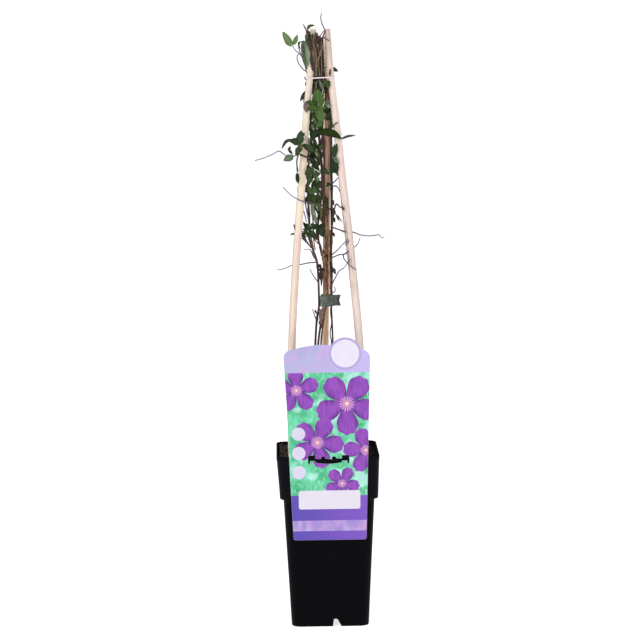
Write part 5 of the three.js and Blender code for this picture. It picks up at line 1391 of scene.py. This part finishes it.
def toothed(share, at, part, teeth):
    """Half-width along a leaflet as a share of its widest half."""
    k = np.clip(np.searchsorted(at, share, side="right") - 1, 0, len(at) - 2)
    at, part = np.array(at), np.array(part)
    w = (share - at[k]) / (at[k + 1] - at[k])
    w = 0.35 * w + 0.65 * (3 * w**2 - 2 * w**3)
    smooth = part[k] + (part[k + 1] - part[k]) * w
    bite = (share * teeth) % 1.0
    return smooth * (1 - 0.07 * (1 - bite) * (share > 0.08) * (share < 0.96))


print("leaflet shapes, from these widths on", [width for width, *_ in SHAPES])


# %% One leaflet
def leaflet(piece, width, rib, draw, fine, finish=0, smooth=False):
    """Points of a thin, folded, toothed leaflet along a midrib."""
    line = Line(rib)
    rows, columns = (34, 13) if width >= 4.8 else (22, 9)
    share = np.linspace(0, 1, rows)
    t = line.knot_place(share)
    along = line.direction(t)
    twist = TWIST * (2 * draw() - 1)
    facing = unit(np.array((math.sin(twist), -math.cos(twist), 0.5 * (draw() - 0.3))))
    side = unit(np.cross(along, facing))
    face = np.cross(side, along)
    middle = line.at(t)
    if len(rib) == 2:
        middle = middle + face * (ARCH * line.length * np.sin(math.pi * share))[:, None]
    middle[0] -= along[0] * ROOT_SINK
    at, left, right = next(shape[1:] for shape in SHAPES if width >= shape[0])
    teeth = max(3, round(line.length / 2.4))
    across = np.linspace(-1, 1, columns)
    left_half, right_half = (toothed(share, at, part, teeth)[:, None] for part in (left, right))
    if smooth:
        left_half = right_half = (share**0.5 * (1 - share) ** 0.8 / 0.42)[:, None]
    half = np.where(across < 0, left_half, right_half)
    spread = across * half * width / 2
    phase, shade = 6.3 * fine(), fine()
    out = np.abs(across)
    fold = FOLD * out**1.3
    wave = WAVE * across * np.sin(2 * math.pi * 1.7 * share + phase)[:, None]
    veins = np.cos(2 * math.pi * (VEINS * share[:, None] - VEIN_SLANT * out))
    quilt = QUILT * veins * out * (1 - out) * 3
    rib_dip = -DIP * np.exp(-((out / 0.12) ** 2))
    settle = np.minimum(1, share * 8)[:, None]
    lift = width * (fold + wave + quilt + rib_dip) * settle
    grid = middle[:, None] + side[:, None] * spread[..., None] + face[:, None] * lift[..., None]
    midrib = MIDRIB * np.exp(-((out / 0.16) ** 2)) * (1 - share[:, None])
    thick = LEAF_THICK / 2 * (1 - 0.6 * out**3) + midrib
    thick = thick * np.minimum(1, (1 - share) * 9 + 0.2)[:, None]
    front = grid + face[:, None] * thick[..., None]
    back = grid - face[:, None] * thick[..., None]
    same = lift.shape
    marks = np.stack([np.broadcast_to(v, same) for v in (share[:, None], across, np.full(same, shade))], -1)
    points = np.vstack([front.reshape(-1, 3), back.reshape(-1, 3)])
    sides = np.repeat((0.0, 1.0), rows * columns)
    piece.add(points, slab(rows, columns), np.vstack([marks.reshape(-1, 3)] * 2), sides, finish)


sample = Piece("sample")
leaflet(sample, 5, [(0, 0, 0), (0, 0, 9)], seeded(1), seeded(2))
print("points of a leaflet", sample.count)

# %% [markdown]
# ## Sprays
# Leaflets of one stalk grow, age and fade together, so a spray is one piece. Each is written down as a
# plan: its tint, the stem it grows from, its stalk, then a row for each leaflet with its width and midrib.
# Leaves could be strewn by chance, but the plant would then not be this plant. The twist, the waves and the
# shade of a leaflet are drawn from a repeatable sequence of the spray's own.

# %% One spray
LEANS = (0, -1.2, 1.2, -2.4, 2.4, -3.6, 3.6, -5, 5, -6.5, 6.5, -8, 8)
STALK_THICK, THICKER_STALKS = (0.65, 0.5), {"leaf_fuzzy_shoot": (1.5, 1.1)}
WOODY_STALKS = (
    "leaf_fuzzy_shoot", "leaf_left_hanging", "leaf_sheath", "bract_mid", "bract_dry", "bract_small")


def spray(node, seed, tint, root, stalk, blades, more=()):
    """A stalk and its leaflets, leant forward or back as far as the solid spray in its place.

    A blade is its width and notes, then its midrib. The note even means an edge without lobes, and a tint
    means a finish other than the spray's own.
    """
    start = STEM_LINES[root[0]].at_height(float(root[1])) if len(root) == 2 else np.array(root, float)
    draw, fine = seeded(seed), seeded(seed * 7 + 1)
    piece = Piece(node + "_fine")
    finishes = [LEAF_FINISH[tint], TWIG_BARKS[node in WOODY_STALKS]]

    def finish_number(name):
        if LEAF_FINISH[name] not in finishes:
            finishes.append(LEAF_FINISH[name])
        return finishes.index(LEAF_FINISH[name])
    for (width, *notes), rib in blades:
        own_tint = next((note for note in notes if note in LEAF_FINISH), tint)
        leaflet(piece, float(width), rib, draw, fine, finish_number(own_tint), "even" in notes)
    ys = np.vstack(piece.points)[:, 1]
    low, high = (corner[1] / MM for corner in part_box(node))
    near, far = start[1] - 0.5, start[1] + 0.3

    def misfit(lean):
        return abs(min(near, ys.min() + lean) - low) + abs(max(far, ys.max() + lean) - high)
    lean = min(LEANS, key=misfit)
    piece.points = [points + (0, lean, 0) for points in piece.points]
    for k, ((extra_tint, width), rib) in enumerate(FINE_LEAVES.get(node, ())):
        leaflet(piece, float(width), rib, draw, fine, finish_number(extra_tint), smooth=k % 2 == 0)
    for first, line in (([tuple(start)], stalk), *[([], extra) for extra in more]):
        line = first + [(x, y + lean, z) for x, y, z in line]
        tube(piece, line, THICKER_STALKS.get(node, STALK_THICK), 8, 8 * len(line), finish=1)
    return piece.make(finishes, [node])


print("sprays on woody stalks", len(WOODY_STALKS))

# %% Plan of the sprays
SPRAYS = table("""
leaf_top_left
grey stem_left 588: -14.5 -1.5 594, -17.4 -2.5 599.7, -18.7 -3.6 604.6, -20 -4 611.1, -22.6 617.1,
  -25.8 621.4, -29.4 -3.6 624.4, -33 -3 630
7.98 even young: -34.4 -3 629.4, -38.2 -5 637, -43 -6 645
5.18 even young: -32 -3 630.8, -29 -4 636, -27 -5 641.6
10.6 even: -21 -8.2 634.4, -18.8 -9.4 626, -18.2 -8.8 615, -17.8 -7.2 604
stalk: -18 -3 602, -20 -3.6 602.8, -23.3 -4 606.3, -26.3 610.6, -27.8 615, -27.6 619, -25.4 621.2 /
  -22.6 617.1, -24.8 -6 623, -26.2 -7 629, -24.8 -7.8 633, -20.8 -8.2 634.4
leaf_fuzzy_shoot
dark stem_left 626: -15 -10.6 631, -16.6 -10.4 638, -17.6 -10 646
3.8 olive: -17.4 -10 645.5, -13.8 -10.5 650.4, -8 -11 651
1.8 dry: -17.6 -10 645, -22 653
3.4 olive: -16 -10.4 636, -19.8 -12 640.5
3.2: -16 -10.4 634, -12.4 -13 639.5
3.2 olive: -15.6 -10.4 632, -19 -11 634.5
3: -16.8 -10.3 641, -13.6 -12.4 644.5
leaf_right_top
dark stem_right 605: 5 0 606, 9.5 -0.2 605.4
4.4 even: 9 -0.2 605.5, 16.4 -1 601.6
leaf_left_drooping
dark stem_left 576: -14 -1.6 580, -18 -3 580
4.8 even: -17.6 -3 581, -25.4 -5 569.6
3.8 even: -17.6 -3.4 580, -21.6 -5 567.6
leaf_left_small
dark stem_left 589: -13.6 0.4 591.5, -17 -0.6 592
3.4: -16.6 -0.6 592, -19.8 -3 586
2.8: -16.6 -0.6 592, -21 -2 596.5
leaf_bright_cluster
bright stem_middle 560: -6 -6 562, -6.2 -10 562
13.86 even: -6.2 -9.6 562.6, -6 573, -7.4 -11.4 584
7.6: -6.6 -10 563, -12 -13 567, -19 -16.4 570
7.56: -6.6 -10 561, -13 -13.6 562.4, -19.4 -16.4 560.4
6: -5.6 -10 562.6, 3 -12.6 562.4
9.92 even: -6 -10 561.4, -4 -13.4 555, -2 -13.6 547
leaf_wrinkled
green stem_middle 548: -6 -5 549.6, -6.2 -8.6 550
7.4: -6.4 -8.4 550, -14 -11 551.6
9.4: -6.4 -8.6 549.4, -9.8 -10.6 539.4
7.4: -5.8 -8.6 549.4, -1.4 -10 540
5.4: -6.4 -8.4 550.4, -13.4 -10.4 557
leaf_dark_right
dark stem_slim 545: 0 0 550, 4.2 -4 556
6.6 even: 4 -3.8 555.8, 1 -6 567
5.8: 4.2 -4 556, 10 -4.6 565
7.4 even: 4.2 -4 555.6, 10 -6 550
4.8: 3.8 -3.8 555.6, 2 -6 548.6
leaf_arched
dark stem_middle 534: -4 -8 535, -3.4 -16.6 536.4
8.8 even glossy: -4 -16.6 536.6, 4.6 -19 536.4, 12.3 -21 533.6, 18.6 -23 529
2.8 even slate: 18 -22.6 529.2, 25 -23 532, 34 533
8.8 even: -3 -16.6 536.6, -8.5 -18.6 535, -15 -19 529
leaf_left_rounded
grey -34 -22 511: -34.6 -24 510.8
7.99 even: -34 -23.6 511, -44.4 -26 506.6
leaf_left_upper
dark -28 -22 514: -29 -26 518, -28 -27 525
10.6: -28 -27 524, -25.8 -29.4 532, -24.6 -29 539.4
6.4: -28.2 -27 524.4, -36 -29 530
3.4 even: -34.8 -28.8 529.4, -41 -31 527.6, -46.2 519.6
6.4: -28.6 -26.2 521.6, -28.4 -28 512.4
4.4: -26.4 -28 530, -20.8 -28.4 537.4
leaf_left_narrow
dark -34 -22 511: -35 -21 514.6
3.2 even slate: -34.8 -21.2 514, -39.4 -20.4 520.6
leaf_left_hanging
dark -30 -23 505: -30 -24.4 499, -29.6 -24.6 493
4.48 even: -29.6 -24.4 493.4, -28.4 -25.4 481.6
leaf_central
dark stem_left 515: -14.6 -3 515, -14 -8 515.4
6.6: -14.2 -7.8 515.6, -15.4 -18.4 517.6, -20 -22.4 520.6, -24.4 -22.6 524.6
7.2: -14.2 -7.8 515, -18.6 -9.4 503.4 / -14.4 -7.8 515.8, -14.8 -9.4 529
10: -13.8 -7.8 515.2, -8 -10.4 512.8, -3.4 -11 507.4
9.4: -14 -8 515, -13 -11 508, -11.4 -10.6 500.6
7: -13.4 -8 515.8, -5 -9.4 520
leaf_mid
green stem_left 494: -15 -3 497, -13 -7 497.4
9.2: -13 -6.8 497.2, -17.6 -9.6 494.6, -21.2 489
8.8: -13.4 -6.8 496.8, -16.4 -9.4 488, -18.4 -9 476.6
5.8: -13 -6.8 497.4, -8.4 -6.4 504
7.2: -12.8 -6.8 496.8, -9.4 -8.6 489, -9 -8 479.6
leaf_grey_mid
dark stem_middle 496: -2 1 497, -2 -2 497.2
6.4: -2 -1.8 497.2, 6 -4 489.6
4.8: -2.2 -1.8 497, -8 -3 488
leaf_low_mid
dark stem_middle 486: -4 1 486.4, -6.6 -3 485
7.2: -6.8 -2.8 485, -11 -5 476.6
6.4: -6.4 -2.8 484.8, -4.6 -5 474.6
6: -6.8 -2.8 484.6, -8 -6.4 472, -7.6 466.4
leaf_chain
green stem_middle 476: -3.4 4 474, -4.6 0.4 470
6.8: -4.6 0.6 470.2, -11 -1.6 474.6 / -4.6 0.6 470, -10.4 -1.6 462
5.4: -4.4 0.6 470, -3.4 -1.2 461.6
leaf_right_pair
olive stem_right 508: 11 3 510, 12 -2 511
7.6 even: 12 -1.8 510.8, 13.2 -4 525
8 even: 12 -1.8 510.6, 13.6 -5 498.8
leaf_right_dark
dark stem_right 496: 10.4 4 497, 10.8 -0.4 498
9.2: 10.6 -0.2 498, 15.4 -3.6 490.4
7.6: 10.6 -0.2 497.8, 6.4 -2.6 490.2
leaf_bright_small
bright stem_right 481: 6.6 6 480
5.6: 6.8 6.4 480.2, 1.2 3.4 476.6
leaf_left_cluster
green stem_left 470: -15 -3 470, -13 -4 470
7.2: -13.2 -3.8 470.2, -19 -6 478
7: -13.2 -3.8 469.8, -18.4 -5.4 460.6
6.4: -13 -3.8 470, -12 -5.4 459.6
6.8: -13 -3.8 470.2, -9.4 -5.6 478.4
leaf_long_grey
grey stem_left 457: -16 -3 459, -14 -4 459.8
4.712 even: -14.2 -3.8 459.8, -12.9 -6.4 452, -10.7 -7 443.6, -7.4 -6 437
3.63 even olive: -13.8 -3.8 459.8, -7 -4.4 457.6, -4 -4.8 449.6, -5.2 439.4
leaf_sheath
olive stem_slim 466: 1.4 8.8 466.4
5.4: 1.4 9 466.2, 2.6 8 458, 2.2 8.4 451.6
leaf_star_left
dark stem_left 430: -16 -3 430, -16 -6 430.8
4.7: -16.4 -5.8 430.6, -25.4 -9 432
6: -16.4 -5.8 430.2, -25.4 -10 425
6.4: -16 -5.8 430.8, -20 -8 438.6
7: -15.8 -5.8 430.8, -12 -7 438.8
4.7: -16 -5.8 430.2, -21 -8 422.4
6.4: -15.8 -5.8 430.2, -12 -8 423.4
leaf_star_right
dark stem_middle 432: -7 1 435, -7 -2 435.2
10.6: -7 -1.8 435.2, -4.4 -4.6 430, -3 -5 422.4
4.7: -7.2 -1.8 435, -9.4 -4 425 / -7 -1.8 435.2, 0 -3 434.6
leaf_left_tip
dark stem_left 424: -22.6 -5 426.4, -30 -11 428
3 slate: -29.6 -10.8 428, -39 -12 426
leaf_nub_high
dark stem_right 443: 9.4 11.4 443
4.2 husk: 9 12 443, 11.8 9.6 437
leaf_nub_low
dark stem_right 426: 9.2 12.6 426
3.4 husk: 8.8 13.2 426, 11 11 421.4
leaf_low_right
dark stem_right 388: 8.8 15.6 387.4
4.7 slate: 8.4 16 387.4, 11.8 13.6 379.6
leaf_under_band
dark stem_slim 586: -2.2 -3 591, -1.8 -5 591.4
5.6: -2 -4.6 591.4, -0.8 -7.4 580.6
leaf_under_band_right
green stem_right 586: 3 -6 590, 3.2 -10.4 592
8.6: 3.2 -10 592, 5.4 -12.4 582.8
4.7: 3 -10 591.8, -0.4 -12 584.4
bract_mid
dry stem_left 383: -7 11.4 384
2.688 husk: -7 11.6 384, -5.4 9.6 373.6
2.2 husk: -7 11.6 384.4, -4.6 9.4 389
bract_dry
dry stem_middle 330: -4.8 12.6 333
6.2: -4.8 13 332.8, -4.9 11.6 320.6
bract_small
dry stem_left 335: -10.6 13.4 338
3: -10.2 13.8 337.6, -12.4 12.6 342.4
""")
print("sprays planned", len(SPRAYS))

# %% Small leaves that only the fine plant has
FINE_LEAVES = table("""
leaf_central
green 6: -13.8 -9 518.4, -18.2 510.9, -21.5 505.6
dark 6: -13.2 -8 517.3, -10.4 524.8, -11.4 532.4
grey 4.4: -14.3 -7 516.2, -17.5 522.7, -16.3 529.2
dark 7: -12.2 -6 514, -8.5 506.4, -9.6 498.8
green 5.4: -8.9 -5 517.1, -4.5 520.3, -1.3 517
dark 7: -11.3 -24 516.2, -17.2 521.1, -23.6 524.8
dark 6: -3.8 -3 523.5, -7.1 518.1, -6.7 511.6
edge 1.5: -13.8 -12.5 519.6, -11.4 515.8 / -16.7 506.7, -15.1 501.3 / -10.7 508.8, -8.1 505 / -9 518.9,
  -7.5 514.6 / -18.1 515.3, -15.1 513.1
dark 8.4: -12.2 -21.5 497.3, -17 494.1, -21.5 491.2
olive 5.5: -5.5 -22 509.5, -12.8 518.2
edge 1.2: -10 -23 515.4, -7.5 510.8
leaf_mid
dark 6: -12.9 -6 497.8, -16.8 490.2, -21.2 487
green 6: -12.4 -5 496.6, -9.2 489, -6.1 480.3
olive 5: -12.3 -4 498.8, -6.9 501.9, -3.5 508.4
dark 7: -12.4 -4 495.5, -16.2 489.1, -18 480.4
dark 6: -16.6 -4 501, -19.3 494.5, -20.3 485.9
dark 7: -14.5 -6 498.9, -19.4 496.8, -22.6 492.5
green 6: -13.5 -5 493.4, -15.8 484.8, -20.2 478.3
dark 6: -12.3 -3 503, -8.5 498.7, -5.2 493.2
edge 1.5: -11.9 -11 498, -10.8 492.5 / -8.4 489.3, -7 483.3 / -5.7 496.1, -4.6 490.9 / -16.2 493.7,
  -14.1 488.9
leaf_left_cluster
dark 7: -13.2 -3 470.5, -18 474.9, -21.8 480.4
dark 5: -13.2 -3 469.5, -18.6 465.2, -22.2 458.7
leaf_low_mid
olive 6: -7 -1 485.5, -11.4 480.2, -13.7 472.6
leaf_chain
olive 4.6: -5 3 470.1, -8.8 464.7, -11.1 456.1
edge 1.5: -19.1 -6 478.4, -17 474 / -12.1 477.7, -10 472.8 / -6.6 471.7, -4.3 466.9 / -14.9 470.7,
  -13.2 465.9
leaf_star_left
dark 5: -16 -7 431.7, -20.8 435, -24 439.4
dark 7: -15.4 -6 431.6, -11 434.8, -8.2 437
dark 6: -15.4 -6 429.5, -12.2 424, -9 419.6
dark 5: -17.5 -7 433.9, -21.3 429.6, -25.2 426.4
edge 1.5: -17.5 -9.5 437.3, -14.7 434.5 / -19.8 430.8, -17.6 427.6
leaf_wrinkled
green 6: -5.3 -9 550.6, -9.6 552.8, -13.3 556.1
dark 6: -5.7 -8 549.5, -10.2 545.3, -14 538.9
green 5: -5.7 -8 548.4, -3.2 540.9, -2.2 534.4
dark 7: -9.6 -7 548.5, -13.4 544.2, -14.6 537.8
dark 6: -9.7 -7 540.9, -13 535.6, -14.1 529.1
green 6: -7.3 -8 557.1, -11.7 554.4, -13.9 549.6
grey 5.4: -7.6 -10 537.8, -11.2 541.5, -13.6 545.4
dark 6: -11.6 -8 558.2, -14.3 552.9, -15 546.4
olive 5: -12.2 -8 547.5, -14.4 542.1, -14.7 535.6
edge 1.5: -12.2 -12.5 552.3, -9 548 / -7.1 544.8, -8.7 540 / -12.4 542.2, -10.3 537.9 / -5.4 548.5,
  -6.9 544.3
green 6.2: -2.1 -14 547.5, -8.5 541.4
bright 4.4: -11.1 -13.6 549, -4.9 543.3
leaf_bright_cluster
withered 7.4: -13.8 -14 568, -18.3 565.9, -18.8 557.3
bright 6: -11.7 -17 566.9, -15.4 568.6, -19.4 569.7
edge 1.5: -10 -14.5 566.9, -7.9 562 / -5.4 567.9, -6.7 563.2
dark 1.8: -9.5 -15.5 565.7, -8.2 570.4
young 2: -2.6 -16 564.2, 2.4 562.7
dark 2.4: -0.5 -15 558.2, -0.8 550.5
grey 4.4: 1.7 -11 566.2, 9.7 562.5
leaf_under_band
dark 3: -5.3 -9 598.9, -4.8 605.4, -4.5 612.8
grey 4.4: -4.8 -9.5 592.5, -2 586, 1.1 577.8
dark 5: -10.1 -5 592.5, -9.1 585, -7.7 576.4
dark 4: -5.8 -7 592.5, -5.2 586.1, -3.8 579.6
leaf_top_left
grey 5: -18.9 -13.4 634.4, -16.5 622.6, -16.1 606.6
dark 2.6: -22.3 -8.4 633.4, -25.8 632.8, -25.4 628.1, -23.5 625.3
leaf_left_upper
dark 7.5: -27.4 -28 524.6, -32.7 527.8, -37.5 527.4
olive 6: -26.8 -26 525.6, -25.8 519.1, -29.6 513.8
dark 5: -28.1 -25 518, -30.2 511.6
leaf_sheath
sheath 7.5: 3.7 9 452.2, 0.9 443.5, 0.1 431.5
bract_dry
withered 6: -2.5 8 345, -5 337.3, -5.6 325.2
dry 4: -6.4 8 342.8, -9.1 340.1
bract_mid
husk 3.6: -5.4 8 392.2, -4.2 380.2, -4.6 367
husk 2.8: -5.9 8 387.9, -7.4 392.9
husk 3.4: -4.8 8 386.8, -0.9 384.5
husk 3: -1.3 14 398.3, 1 401.1, 3.1 400
husk 2.6: 3.1 14 398.7, 5.8 400.6, 6.9 403.2
leaf_dark_right
grey 6: 10.1 -8 565.9, 5.3 568.1, 0.7 563.4
grey 4: 8.3 -8 566.6, 10.2 560.1, 8.2 552.6
dry 4.4: 7.5 -6 587, 5.9 579.5, 5.2 569.8
dark 6: 8.9 -7 560.1, 6.7 552.6, 3 548.3
green 5.4: 9.9 -7 550.4, 8.3 542.9, 4.3 538
olive 4: 8.3 -6 551.5, 10.4 545, 10.8 537.4
leaf_right_pair
dark 5.4: 9.7 -19 509.8, 11.9 518.4, 13.6 524.8
grey 5.4: 9.7 -19 509.2, 13 506.1, 15.3 502.2
dark 6: 9.7 -19 508.8, 11.8 501.2, 13.7 493
leaf_left_narrow
dark 2.6: -37 -24 521.8, -38.4 517.7
leaf_fuzzy_shoot
olive 4.8: -14.7 -13.6 627.9, -16.1 635.4, -17.3 644.6
dark 4: -14.5 -13 629, -17.4 635.4, -19 641.8 / -14.2 630, -14.4 636.4, -15.4 643.3
dark 3: -15.2 -11.4 635.4, -17.6 637.1 / -15 636.5, -12.8 638.6 / -15.4 638.6, -17.5 640.8 / -15.2 639.7,
  -13 641.8 / -15.6 641.4, -17.7 643.3 / -15.6 642.5, -13.4 644.6 / -15.8 644, -17 646.3 / -15.3 633.3,
  -12.9 635 / -15.5 632.2, -17.4 633.7
leaf_long_grey
dark 4: -11.7 3 456.1, -7.4 450.6, -4.7 440.7
edge 1.5: -9.6 -7.5 457.7, -7 451.2 / -13 452.3, -10.9 444.7
leaf_nub_high
husk 3.4: 7.2 4 432.8, 8.5 444.8, 10.5 454.6
dark 3.6: 7.3 4 455.7, 9.1 459.4, 9.6 462.9
dark 3.4: 7.3 4 439.4, 9.3 440.9, 10.6 443.3
leaf_right_top
sheath 2.6: 6.7 -11.6 596.7, 7.1 600.9, 7.6 605.2
""")
print("sprays with small leaves", len(FINE_LEAVES))

# %% Sprays that face the front
for number, (node, ((words, stalk), *rows)) in enumerate(SPRAYS.items()):
    tint, *root = words
    blades = [row for row in rows if row[0] != ["stalk"]]
    more = [line for words, line in rows if words == ["stalk"]]
    spray(node, 8 + number, tint, root, stalk, blades, more)
print("sprays in front", len(SPRAYS))

# %% Sprays on the far side
BACK_COUNT, BACK_LOW, BACK_HIGH, BACK_REACH = 9, 424, 572, 15
NARROWED = {1: 0.35}  # the second one stands beside the right stem, with narrow blades
draw = seeded(41)
for i in range(BACK_COUNT):
    owner = ("stem_left", "stem_right", "stem_middle")[i % 3]
    z = BACK_LOW + (BACK_HIGH - BACK_LOW) * (i + 0.4 * draw()) / BACK_COUNT
    x, y, _ = STEM_LINES[owner].at_height(z)
    turn = (0.5 if owner == "stem_right" else 1.9) + 0.6 * draw()

    def ahead(reach, turned, rise):
        return (x + reach * math.cos(turn + turned), y + reach * math.sin(turn + turned), z + rise)
    near = BACK_REACH * (0.42 + 0.2 * draw())
    far = near + BACK_REACH * (0.55 + 0.3 * draw())
    share = NARROWED.get(i, 1)
    blades = [
        (((5.2 + 2 * draw()) * share,), [ahead(near, 0, 3), ahead(far, 0.1, -3 - 5 * draw())]),
        ((4.6 + draw(),), [ahead(near, 0, 3), ahead(near + 5, 0.8, 7 + 3 * draw())]),
        (((4.6 + draw()) * share,), [ahead(near, 0, 3), ahead(near + 4, -0.8, -7 - 3 * draw())]),
    ]
    spray(f"leaf_back_{i + 1}", 8 + len(SPRAYS) + i, ("dark", "green", "olive")[i % 3], (owner, z),
          [ahead(near * 0.5, 0, 2), ahead(near, 0, 3)], blades)
print("sprays on the far side", BACK_COUNT)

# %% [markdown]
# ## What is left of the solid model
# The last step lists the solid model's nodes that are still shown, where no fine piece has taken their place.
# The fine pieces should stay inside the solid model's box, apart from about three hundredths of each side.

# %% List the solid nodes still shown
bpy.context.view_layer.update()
still_plain = [name for name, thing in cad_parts.items() if not thing.hide_render]
print("solid nodes still shown", still_plain)
